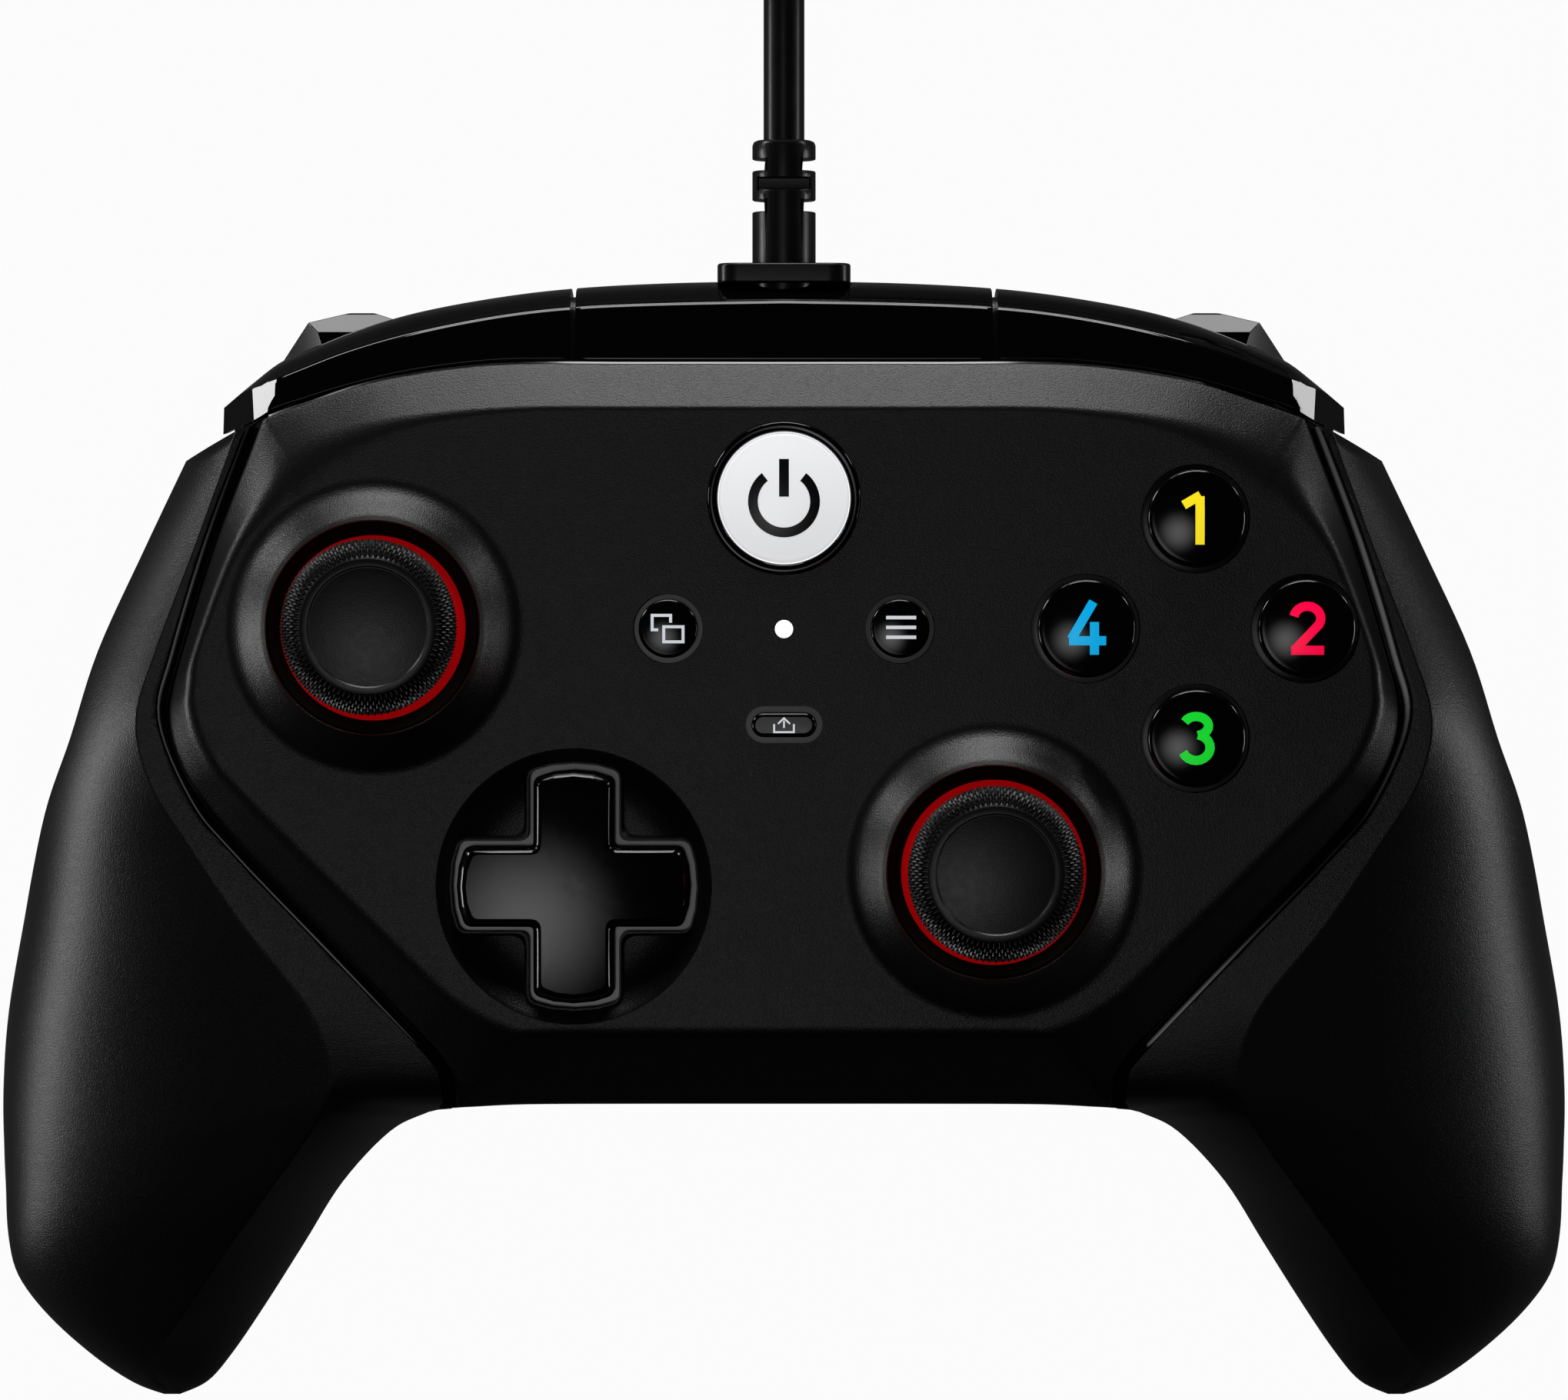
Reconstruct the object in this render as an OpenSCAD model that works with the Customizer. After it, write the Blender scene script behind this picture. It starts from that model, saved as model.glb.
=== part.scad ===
// Wired gamepad controller lying face up: Z points out of the face and Y points to the cable.
// Lengths are in millimetres and angles in degrees. Each name in NODES is one piece.

// The piece to draw, or all of them

/* [Housing] */
// Height of the flat face above the table
face_z = 44; // [43:0.5:45]
// Height of the front shell's outer edge
rim_z = 41; // [40.5:0.25:41.5]
// Height of the ledge that carries the front shell
ledge_z = 38; // [37.5:0.25:38.25]
// Height of the joint between the front pieces and the rear cover
part_z = 20; // [19:0.5:21]
// Thickness of the front shell under its flat face
shell_wall = 2.2; // [1.8:0.1:2.4]
// Thickness of the rear cover's floor
floor_wall = 2.4; // [2:0.2:3]
// Width of the groove between front shell and grip
groove_w = 1.3; // [1.1:0.1:1.5]
// How far a seam trim lies below the edges of its groove
trim_drop = 0.6; // [0.3:0.1:1]

/* [Thumbsticks] */
// Height of the tilt centre
pivot_z = 36.5; // [36.2:0.1:36.8]
// Radius of the red spherical skirt
skirt_r = 12.6; // [12.4:0.1:12.7]
// Radius of the hole in the slip ring
stick_hole_r = 9.25; // [9.1:0.05:9.4]
// Radius of the cap at its knurled edge
cap_r = 8.4; // [8:0.1:8.8]
// Height of the cap's rim
cap_top_z = 57; // [56:0.25:58]
// Height of the cap from its underside to its rim
cap_h = 5.4; // [4.5:0.2:5.6]
// Travel of the click when a stick is pressed
click_travel = 0.6; // [0.4:0.1:0.7]

/* [Buttons] */
// Radius of a face button
face_key_r = 4.75; // [4.5:0.05:4.9]
// Distance of each face button from the middle of the four
face_key_reach = 10.6; // [10.2:0.1:11]
// Height of a face button's crown above the face
face_key_h = 3.0; // [2.4:0.1:3.4]
// Radius of the view and menu buttons
small_key_r = 2.85; // [2.6:0.05:3]
// Height of the small buttons above the face
small_key_h = 0.9; // [0.5:0.1:1.3]
// Radius of the guide button
guide_r = 6.35; // [6.1:0.05:6.45]
// Travel of a face button
face_key_travel = 1.3; // [1:0.1:1.4]
// Room between a button and its hole
key_gap = 0.35; // [0.3:0.05:0.4]

/* [Directional pad] */
// Half the length of the cross
pad_half = 11; // [10.5:0.1:11.1]
// Width of an arm of the cross
pad_arm = 7.2; // [6.8:0.1:7.3]
// Height of the cross above the face
pad_h = 1.8; // [1.4:0.1:2.4]
// Radius of the dish around the cross
dish_r = 13.35; // [13:0.05:13.6]

/* [Shoulders] */
// Half the width of the bridge between the bumpers
bridge_half = 20.3; // [19.5:0.1:20.4]
// Gap between bridge and bumper
bumper_gap = 0.6; // [0.5:0.1:0.9]
// Wall thickness of the bumpers and the bridge
bumper_wall = 1.8; // [1.5:0.1:2]
// Radius of a trigger pin
trigger_pin_r = 1.25; // [1:0.05:1.4]
// Radius of a bumper pin
bumper_pin_r = 0.8; // [0.7:0.05:0.9]

/* [Cable] */
// Diameter of the cable
cable_d = 4; // [3.8:0.1:4]
// Diameter of the sleeve behind the plug
sleeve_d = 6.2; // [5.8:0.1:6.4]
// Width of the plug's flange
flange_w = 13; // [12:0.25:14]
// Number of loops in the coil
coil_loops = 16.5; // [16.5:1:16.5]
// Distance between neighbouring loops
coil_pitch = 4.5; // [4.5:0.05:4.6]
// Largest radius of the coil's centre line
coil_r = 33; // [33:0.5:35]

/* [Hidden] */
$fn = 40;
half_turn = 180;
full_turn = 360;

// Clearance of a turning fit, on the radius
fit = 0.08;
// Small overlap that joins two shapes of one piece
join = 0.2;
// Room around a piece that is set in a seat
seat = 0.05;

// Places on the face, from the middle of the controller
left_stick_at = [-39.6, 20.75];
right_stick_at = [20.2, -2.8];
pad_at = [-20.3, -4.2];
face_keys_at = [39.75, 20.7];
guide_at = [0, 33.3];
view_at = [-11.2, 20.7];
menu_at = [11.2, 20.7];
light_at = [0, 20.65];
share_at = [0, 11.4];

// Left half of the front shell's upper edge, from the middle to the shoulder
top_edge = [[0, 46.5], [-14, 46.5], [-28, 46.4], [-39, 44.9], [-50.5, 41.1]];
// Outer edge of the left groove, from the shoulder to the bottom edge
seam = [
  [-52.4, 39.9], [-56.3, 29.5], [-59.6, 18.6], [-60.9, 12], [-57.7, 4], [-53.6, -1.1],
  [-44.1, -11], [-34.8, -20.7], [-33.4, -23.2], [-33.2, -26.3]
];
// Left half of the flat face, from the middle of its upper edge to the middle of its lower edge
flat_edge = [
  [0, 42], [-24, 42], [-38.2, 40.2], [-47, 36.2], [-53.2, 28.5], [-57.2, 18.9], [-57.6, 14],
  [-55.1, 7.3], [-50.5, 2.5], [-40.9, -6.9], [-34.8, -12.9], [-28.2, -17.4], [-24, -18.4], [0, -18.4]
];
bottom_y = -26.3;
// Lower wall of the front shell
lower_wall_half = 32.4;
lower_wall_t = 2;

// Left horn, from the shoulder to the tip. Each row has the outer edge, the ridge and the inner edge
// in plan, then the heights of ridge, inner edge and underside.
horn_rows = [
  [[-59.1, 37.4], [-54.6, 39.3], [-47.5, 42.6], [40.6, 40.4, 13]],
  [[-63.3, 28.5], [-58.6, 28.2], [-50.5, 27], [41.1, 41, 11]],
  [[-67.8, 18.7], [-61.9, 18.6], [-53, 18], [41.1, 41, 9]],
  [[-70.6, 10], [-63, 12], [-53.5, 11.5], [41.1, 41, 7]],
  [[-73.2, 2.5], [-61.6, 6.1], [-52, 6], [41.1, 41, 5.5]],
  [[-75.4, -8], [-58, 0.2], [-48, 0.5], [41, 40.8, 3.5]],
  [[-77, -17], [-52.5, -7.9], [-42, -6], [40.7, 40.4, 1.5]],
  [[-77.6, -25], [-46, -16.2], [-36, -14], [40, 39.4, 0.5]],
  [[-77.5, -30.5], [-44, -22.4], [-29.5, -25.3], [38.8, 37.8, 0]],
  [[-77.4, -32.6], [-44.7, -25.6], [-34.8, -26.9], [38.1, 30, 0]],
  [[-77.3, -34.6], [-46, -28.2], [-39, -28.9], [37.3, 23, 0]],
  [[-77.1, -39.1], [-50.4, -34.3], [-43.8, -34], [35, 20, 0.2]],
  [[-76.1, -43.3], [-54.8, -40.4], [-47.7, -40.2], [32.3, 20, 1]],
  [[-73, -47.4], [-59, -46.5], [-51.5, -46.2], [29, 20, 3]],
  [[-68.5, -51.4], [-61.6, -50.2], [-54.7, -50.9], [26, 20, 6.5]],
  [[-64.6, -54], [-62.6, -52.5], [-57.2, -53.8], [23.6, 20, 10]],
  [[-61.6, -55.15], [-61, -54.8], [-60, -55.15], [20.8, 20, 17]]
];
horn_steps = 2;
horn_mid_z = 20;
outer_sides = 6;
inner_sides = 5;
under_sides = 8;
// Angles that the rounded flanks have turned through where they reach the ridge
outer_turn = 62;
inner_start = 28;

// Shoulder rows: place along X, front edge, upper back edge and back face along Y, drop of the top
shoulder_rows = [
  [0, 46.8, 52.8, 54.9, 0], [-11, 46.8, 52.6, 54.7, 0], [-20.3, 46.8, 52.2, 54.2, 0],
  [-28, 46.7, 51.3, 53.3, 0], [-36, 45.8, 49.7, 51.8, 0], [-42.3, 44.4, 47.9, 49.9, 0],
  [-47, 42.8, 46.1, 48, 0], [-49.4, 41.9, 45.05, 46.9, 0.05], [-51.7, 41.1, 43.6, 45.3, 1.35],
  [-54.6, 40, 41.5, 42.8, 4.8]
];
// How far the lip under the front edge reaches below the front shell
shoulder_lip = 0.8;
shoulder_top_z = 39.8;
shoulder_edge_z = 37.2;
shoulder_back_z = 30;
bumper_low_z = 24.4;
bumper_rings = 16;

// Bumper hinge: its middle, and its direction along the left bumper
bumper_hinge_at = [-37.5, 42.5, 36];
bumper_hinge_turn = 8;
// Lugs of the left bumper: place along X, and reach under its top
bumper_lugs = [[-29, 4.8], [-46, 3]];
bumper_post_x = [-33.5, -41.5];
bumper_lug_r = 1.7;
bumper_pin_l = 24;
// Room past each end of a bumper pin
pin_room = 0.3;

// Trigger hinge along X, and the plan of the left trigger
trigger_axis_y = 42;
trigger_axis_z = 23;
trigger_hub_r = 2.4;
trigger_hub_x = [32, 44.6];
fork_x = [30, 45];
fork_w = 1.6;
trigger_plan = [[-29.3, 40], [-29.3, 53], [-40.7, 52.2], [-47.4, 51.6], [-51, 46.6], [-51, 44], [-45, 40]];
trigger_profile = [
  [45, 22.9], [49.8, 22.5], [51.6, 20.4], [52.2, 16.8], [51.6, 12.8], [50.9, 9.4], [51.3, 6.8],
  [51.7, 4.9], [50.2, 4.1], [48, 5.4], [46.5, 8.5], [45.7, 12.5], [45.5, 16.5], [45, 20]
];

board_top_z = 31.4;
board_t = 1.6;
board_half = [
  [0, 46], [-8, 46], [-8, 33.6], [-44.5, 33.6], [-53, 20], [-54.3, 12.5], [-51, 4.5], [-32.5, -13.5],
  [-22, -15.5], [-22, -22], [0, -22]
];
board_posts = [[26, 26], [18, -10.5]];
peg_r = 1.2;

stick_box = 14;
stick_box_h = 7.6;
stick_wall = 1.4;
yoke_half = 5;
yoke_hole = 3.4;
cradle_x = 2.6;
cradle_y = 3;
gimbal_h = 3;
yoke_pin_r = 1;
cradle_pin_r = 0.8;
post_r = 1.5;
neck_r = 3;
collar_r = 10.2;
collar_z = face_z + 3;
dome_r = 14;
skirt_room = 0.4;
skirt_t = 1.2;

plate_low_z = face_z - shell_wall;
flange_t = 1.2;
flange_room = 0.4;
key_flange = 1.1;
flange_top_z = plate_low_z - 0.35;
dome_top_z = board_top_z + 3.8;
key_low_z = dome_top_z + face_key_travel + 0.6;

pad_pivot_z = 37;
pad_lip = 0.65;
pad_room = 1.1;
dish_depth = 1.1;

light_r = 0.88;
bezel_r = 7.4;
jack_z = board_top_z + 2.8;
jack_bore_r = 1.8;

motor_at = [-62, -20, 20];
motor_r = 5.4;
motor_l = 12;
weight_r = 6.6;
weight_l = 5;
motor_room = 1.2;

screw_rows = [[-63.5, -41, 9], [-63, 15, 13], [-26, -19.8, 10]];
boss_r = 3;
screw_head_r = 2.6;
screw_r = 1.4;

rear_key_at = [-41, 8, 6.8];
rear_key_turn = 22;
rear_key_size = [6, 15];

plug_z = board_top_z + 1.6;
sleeve_end_y = 68.5;
sleeve_start_y = 56.6;
flange_y = 54.9;
flange_h = 7.6;

// Route of the free cable from the sleeve to the coil, chosen by hand
lead_route = [
  [0, sleeve_end_y, 33], [0, 72.5, 33], [0, 78, 33], [0, 84, 32.9], [0, 91, 32], [0, 98, 29.8],
  [0, 105, 26.2], [0, 112, 21.4], [0, 119, 15.8], [0, 126, 10.2], [0, 133, 5.7], [0, 139, 3.4],
  [0, 145, 2.6], [0, 150, 2.5], [0, 154, 2.5], [0, 158, 2.5]
];
coil_y = 162;
cable_low_z = 2.5;
coil_layers = 4;
loop_rings = 24;
coil_sides = 6;
tube_sides = 8;
coil_top_z = cable_low_z + (coil_layers - 1) * coil_pitch;
tail_x = 2 * coil_r;
tail_route = [
  [tail_x, 158, coil_top_z], [tail_x, 155, coil_top_z], [tail_x, 151, 15.3], [tail_x, 146.5, 13.2],
  [tail_x, 142, 10.2], [tail_x, 137.5, 7.2], [tail_x, 133, 5.1], [tail_x, 128.5, 4.1], [tail_x, 125, 4],
  [tail_x, 121, 4]
];
usb_plug_y = 121;
usb_plug_z = 4;

// Curves and helpers

// Point of a smooth curve through p1 and p2 at t from 0 to 1
function curve_at(p0, p1, p2, p3, t) =
  0.5 * (2 * p1 + (p2 - p0) * t + (2 * p0 - 5 * p1 + 4 * p2 - p3) * t * t
    + (3 * p1 - p0 - 3 * p2 + p3) * t * t * t);

// Smooth curve through all points of p, with n steps between neighbours
function smooth(p, n) = [
  for (i = [0:len(p) - 2]) for (k = [0:n - 1])
    curve_at(p[max(i - 1, 0)], p[i], p[i + 1], p[min(i + 2, len(p) - 1)], k / n),
  p[len(p) - 1]
];

// Outline of both halves from the points of the left one
function both(p) = concat(p, [for (i = [len(p) - 1:-1:0]) if (abs(p[i].x) > 0) [-p[i].x, p[i].y]]);

// Points of an open line moved sideways, to the left of its direction when d is above 0
function shifted(p, d) = [
  for (i = [0:len(p) - 1])
    let (s = p[min(i + 1, len(p) - 1)] - p[max(i - 1, 0)])
    p[i] + d * [-s.y, s.x] / norm(s)
];

function at_z(p, z) = [for (q = p) [q.x, q.y, z]];
function above(p, y) = [for (q = p) if (q.y > y) q];

seam_curve = smooth(seam, 3);
top_curve = smooth(top_edge, 2);
// Zone inside the grooves' outer edges, narrowed by d along the grooves only
function zone(d) = both(concat(top_curve, shifted(seam_curve, d), [[0, bottom_y]]));
front_outline = zone(groove_w);
flat_outline = both(smooth(flat_edge, 2));
support_w = 3.3;
shelf_w = support_w + 0.6;

// Convex solid around a list of points
module hull_points(p) {
  hull() polyhedron(p, [for (i = [0:len(p) - 3]) [i, i + 1, i + 2]]);
}

// Solid through rings that have the same number of points each
module loft(rings) {
  n = len(rings[0]);
  m = len(rings);
  sides = [
    for (i = [0:m - 2]) for (k = [0:n - 1])
      let (a = i * n + k, b = i * n + (k + 1) % n)
      each [[a, b, b + n], [a, b + n, a + n]]
  ];
  caps = [[for (k = [n - 1:-1:0]) k], [for (k = [0:n - 1]) (m - 1) * n + k]];
  polyhedron([for (r = rings) each r], concat(sides, caps), convexity = 8);
}

module slab(outline, z0, z1) {
  translate([0, 0, z0]) linear_extrude(z1 - z0) polygon(outline);
}

module block(low, high) {
  translate(low) cube(high - low);
}

module post(at, r, z0, z1) {
  translate([at.x, at.y, z0]) cylinder(r = r, h = z1 - z0);
}

module along_x(at, r, l) {
  translate(at) rotate([0, 90, 0]) cylinder(r = r, h = l, center = true);
}

module along_y(at, r, y0, y1) {
  translate([at.x, y0, at.z]) rotate([-90, 0, 0]) cylinder(r = r, h = y1 - y0);
}

module stadium(l, w) {
  hull() for (s = [-1, 1]) translate([s * (l - w) / 2, 0]) circle(d = w);
}

module plastic() { color([0.11, 0.11, 0.115]) children(); }
module gloss() { color([0.03, 0.03, 0.035]) children(); }
module red() { color([0.85, 0.05, 0.05]) children(); }
module metal() { color([0.7, 0.71, 0.73]) children(); }
module rubber() { color([0.3, 0.3, 0.32]) children(); }
module board_green() { color([0.08, 0.32, 0.16]) children(); }

// Horns

// Half way round of one horn section: row is one smoothed row
function horn_ring(outer, ridge, inner, h) = concat(
  [for (k = [0:outer_sides])
    let (a = outer_turn * k / outer_sides,
      q = (1 - cos(a)) / (1 - cos(outer_turn)),
      p = outer + (ridge - outer) * q)
    [p.x, p.y, horn_mid_z + (h[0] - horn_mid_z) * sin(a) / sin(outer_turn)]],
  [for (k = [1:inner_sides])
    let (a = inner_start + (90 - inner_start) * k / inner_sides,
      q = (sin(a) - sin(inner_start)) / (1 - sin(inner_start)),
      p = ridge + (inner - ridge) * q)
    [p.x, p.y, h[1] + (h[0] - h[1]) * cos(a) / cos(inner_start)]],
  [for (k = [1:under_sides])
    let (a = half_turn * k / (under_sides + 1),
      p = (inner + outer) / 2 + (inner - outer) / 2 * cos(a))
    [p.x, p.y, horn_mid_z - (horn_mid_z - h[2]) * pow(sin(a), 0.7)]]
);

module horn() {
  outer = smooth([for (r = horn_rows) r[0]], horn_steps);
  ridge = smooth([for (r = horn_rows) r[1]], horn_steps);
  inner = smooth([for (r = horn_rows) r[2]], horn_steps);
  heights = smooth([for (r = horn_rows) r[3]], horn_steps);
  loft([for (i = [0:len(outer) - 1]) horn_ring(outer[i], ridge[i], inner[i], heights[i])]);
}

module motor_room_at() {
  translate(motor_at) rotate([90, 0, 0])
    cylinder(r = weight_r + motor_room, h = motor_l + 2 * weight_l + 4, center = true);
}

// Room for the end of the bumper under the shoulder of the grip
bumper_room = [[-45.4, 42], [-55.5, 37.3], [-55.5, 50], [-45.4, 50]];

module grip() {
  difference() {
    intersection() {
      horn();
      block([-90, -70, part_z], [0, 60, 60]);
    }
    slab(zone(0), ledge_z, 60);
    slab(zone(support_w), 0, 60);
    motor_room_at();
    for (r = screw_rows) post(r, screw_r, 0, part_z + 9);
    slab(bumper_room, part_z - 1, ledge_z + 0.4);
    block([-lower_wall_half - seat, bottom_y - 1, part_z - 1], [0, bottom_y + lower_wall_t + seat, ledge_z]);
  }
}

module left_grip() {
  plastic() grip();
}

module right_grip() {
  plastic() mirror([1, 0, 0]) grip();
}

// Rear cover

belly_half = [[0, 54.6], [-21.5, 53.9], [-27.3, 53.1], [-52, 38], [-56, 29.5], [-59.4, 18.6], [-60.6, 12], [-57.5, 4],
  [-34.5, -20.9], [-33.2, bottom_y], [0, bottom_y]];
belly_flat = [[0, 36], [-22, 36], [-25, 33], [-25, -10], [-22, -13], [0, -13]];
bay_y = 38.5;

module rear_key_frame() {
  translate(rear_key_at) rotate([0, rear_key_turn, 0]) children();
}

module rear_body() {
  union() {
    horn();
    mirror([1, 0, 0]) horn();
    hull_points(concat(at_z(both(belly_half), part_z), at_z(both(belly_half), 12),
      at_z(both(belly_flat), 0)));
  }
}

module rear_room() {
  inner_half = above([for (q = zone(support_w)) q], -23.8);
  hull_points(concat(at_z(above([for (q = inner_half) [q.x, min(q.y, 34)]], -23.8), part_z + 1),
    at_z([for (q = inner_half) [q.x * 0.95, min(q.y, 34) * 0.93]], 13.5),
    at_z([for (q = both(belly_flat)) [q.x * 0.92, q.y * 0.92]], floor_wall)));
}

module rear_cover() {
  plastic() difference() {
    union() {
      difference() {
        intersection() {
          rear_body();
          block([-90, -70, -1], [90, 70, part_z]);
        }
        rear_room();
        block([-24, 33, 9], [24, 51, part_z + 1]);
        for (s = [-1, 1]) scale([s, 1, 1]) {
          block([27.4, bay_y, -1], [53, 60, part_z + 1]);
          motor_room_at();
        }
      }
      for (s = [-1, 1], p = board_posts) {
        post([s * p.x, p.y], 3, floor_wall - join, board_top_z - board_t);
        post([s * p.x, p.y], peg_r, floor_wall, board_top_z);
      }
      for (s = [-1, 1]) intersection() {
        rear_body();
        post([s * screw_rows[2].x, screw_rows[2].y], boss_r + 1.2, 0, part_z);
      }
      for (s = [-1, 1]) scale([s, 1, 1]) intersection() {
        rear_body();
        rear_key_frame() hull() for (y = [-5, 5])
          translate([0, y, -4]) cylinder(r = 6, h = 8, $fn = 24);
      }
    }
    for (s = [-1, 1]) scale([s, 1, 1]) {
      for (r = screw_rows) {
        post(r, screw_head_r, -1, r.z);
        post(r, screw_r + 2 * fit, -1, part_z + 10);
      }
      rear_key_frame() {
        hull() for (y = [-4.5, 4.5])
          translate([0, y, -9]) cylinder(d = rear_key_size.x + 2 * key_gap, h = 20, $fn = 24);
        hull() for (y = [-4.5, 4.5])
          translate([0, y, 1.2]) cylinder(d = rear_key_size.x + 2.4, h = 8, $fn = 24);
      }
    }
  }
}

module rear_key() {
  rear_key_frame() {
    hull() for (y = [-4.5, 4.5]) translate([0, y, -2.6]) cylinder(d = rear_key_size.x - 1, h = 0.8, $fn = 24);
    hull() for (y = [-4.5, 4.5]) translate([0, y, -2]) cylinder(d = rear_key_size.x, h = 4, $fn = 24);
    hull() for (y = [-4.5, 4.5]) translate([0, y, 1.5]) cylinder(d = rear_key_size.x + 1.6, h = 1, $fn = 24);
  }
}

module left_rear_button() {
  gloss() rear_key();
}

module right_rear_button() {
  gloss() mirror([1, 0, 0]) rear_key();
}

module housing_screws() {
  metal() for (s = [-1, 1], r = screw_rows) {
    post([s * r.x, r.y], screw_r, r.z - join, part_z + 8);
    difference() {
      post([s * r.x, r.y], screw_head_r - 0.1, r.z - 2, r.z);
      translate([s * r.x, r.y, r.z - 2.1]) linear_extrude(1.1) for (a = [0, 90]) rotate(a)
        square([2.6, 0.7], center = true);
    }
  }
}

// Front shell

module dome_solid(at) {
  translate([at.x, at.y, 0]) rotate_extrude($fn = 72) polygon([
    [5, plate_low_z], [dome_r - 0.4, plate_low_z], [dome_r, face_z], [dome_r - 1.2, face_z + 0.9],
    [dome_r - 2.4, face_z + 2.1], [collar_r + 0.5, collar_z - 0.15], [collar_r, collar_z], [5, collar_z]
  ]);
}

ring_low_z = pivot_z + 9.1;

module stick_room(at) {
  post(at, collar_r, ring_low_z, 60);
  translate([at.x, at.y, pivot_z]) sphere(r = skirt_r + skirt_room, $fn = 64);
}

module cross_shape(half, arm, bow) {
  intersection() {
    union() {
      square([2 * half + 2, arm], center = true);
      square([arm, 2 * half + 2], center = true);
    }
    circle(r = half + bow, $fn = 96);
  }
}

module key_hole(at, r) {
  post(at, r + key_gap, plate_low_z - 1, face_z + 5);
  translate([at.x, at.y, face_z - 0.3]) cylinder(r1 = r + key_gap, r2 = r + key_gap + 0.32, h = 0.32);
}

function face_key_at(k) = face_keys_at + face_key_reach * [sin(90 * k), cos(90 * k)];

share_size = [6.3, 2.4];

module front_shell() {
  plastic() difference() {
    union() {
      difference() {
        intersection() {
          hull_points(concat(at_z(flat_outline, face_z), at_z(above(front_outline, -21), rim_z),
            at_z(front_outline, ledge_z)));
          slab(front_outline, part_z, face_z + 1);
        }
        intersection() {
          hull_points(concat(
            at_z([for (q = flat_outline) [q.x * 0.98, q.y * 0.96]], plate_low_z),
            at_z([for (q = above(zone(shelf_w), -23.6)) [q.x, min(q.y, 43.5)]], ledge_z - 1)));
          slab(zone(shelf_w), part_z, face_z);
        }
      }
      for (p = [left_stick_at, right_stick_at]) dome_solid(p);
      block([-lower_wall_half, bottom_y, part_z], [lower_wall_half, bottom_y + lower_wall_t, ledge_z + join]);
      for (s = [-1, 1]) post([s * screw_rows[2].x, screw_rows[2].y], boss_r, part_z, plate_low_z);
    }
    for (p = [left_stick_at, right_stick_at]) stick_room(p);
    for (k = [0:3]) {
      key_hole(face_key_at(k), face_key_r);
      post(face_key_at(k), face_key_r + key_flange + flange_room, part_z, plate_low_z);
    }
    post(guide_at, guide_r + key_flange + flange_room, part_z, plate_low_z);
    key_hole(view_at, small_key_r);
    key_hole(menu_at, small_key_r);
    post(guide_at, guide_r + key_gap, plate_low_z - 1, 60);
    post(guide_at, bezel_r, face_z - 1, 60);
    post(light_at, light_r, plate_low_z - 1, 60);
    translate([share_at.x, share_at.y, plate_low_z - 1]) linear_extrude(9)
      stadium(share_size.x + 2 * key_gap, share_size.y + 2 * key_gap);
    difference() {
      translate([pad_at.x, pad_at.y, face_z - dish_depth])
        translate([0, 0, (dish_r * dish_r / dish_depth + dish_depth) / 2])
        sphere(r = (dish_r * dish_r / dish_depth + dish_depth) / 2, $fn = 128);
      translate([pad_at.x, pad_at.y, face_z - 3]) linear_extrude(3)
        cross_shape(pad_half + pad_room + pad_lip, pad_arm + 2 * (pad_room + pad_lip), 0.2);
    }
    translate([pad_at.x, pad_at.y, plate_low_z - 1]) linear_extrude(9)
      cross_shape(pad_half + pad_room, pad_arm + 2 * pad_room, 0.2);
    along_y([0, 0, jack_z], 3.1, bottom_y - 1, bottom_y + 3);
    for (s = [-1, 1]) post([s * screw_rows[2].x, screw_rows[2].y], screw_r, part_z - 1, part_z + 9);
  }
}

module seam_trim() {
  difference() {
    slab(zone(0.1), ledge_z, rim_z - trim_drop);
    slab(zone(groove_w - 0.1), ledge_z - 1, rim_z + 1);
    block([-33.6, -40, 0], [70, 60, 60]);
    block([-70, 39.2, 0], [70, 60, 60]);
  }
}

module left_seam_trim() {
  gloss() seam_trim();
}

module right_seam_trim() {
  gloss() mirror([1, 0, 0]) seam_trim();
}

module stick_ring(at) {
  translate([at.x, at.y, ring_low_z]) difference() {
    cylinder(r = collar_r - seat, h = collar_z - ring_low_z - 0.2, $fn = 72);
    translate([0, 0, -1]) cylinder(r = stick_hole_r, h = 9, $fn = 72);
  }
}

module left_stick_ring() {
  gloss() stick_ring(left_stick_at);
}

module right_stick_ring() {
  gloss() stick_ring(right_stick_at);
}

module guide_bezel() {
  gloss() difference() {
    post(guide_at, bezel_r, face_z - 1, face_z + 0.5);
    post(guide_at, guide_r + key_gap, face_z - 2, face_z + 1);
  }
}

module status_light() {
  color([0.95, 0.97, 1]) {
    post(light_at, light_r, plate_low_z - join, face_z + 0.1);
    post(light_at, light_r + 0.6, plate_low_z - 1.2, plate_low_z);
  }
}

// Shoulder bridge and bumpers

// Section of the shoulder at one row, from the front edge round the back to the underside and the lip
function shoulder_ring(r, low_z) = let (
  top = shoulder_top_z - r[4], brow = shoulder_edge_z - 0.85 * r[4], back = shoulder_back_z - 0.4 * r[4]
) [
  for (p = [
    [r[1], top], [r[2] - 0.6, brow + 0.35], [r[2], brow - 0.1],
    [r[3] - 0.4, brow - 3], [r[3], back], [r[3] - 0.5, low_z],
    [r[3] - 0.5 - bumper_wall, low_z], [r[3] - 0.2 - bumper_wall, back],
    [r[2] - bumper_wall, brow - 2], [r[1] + 0.3, top - 2.9], [r[1] - shoulder_lip, top - 3.1],
    [r[1] - shoulder_lip, top - 2.4], [r[1], top - 2.3]
  ]) [r[0], p.x, p.y]
];

function shoulder_at(x) = lookup_row(smooth(shoulder_rows, 4), x);

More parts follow.
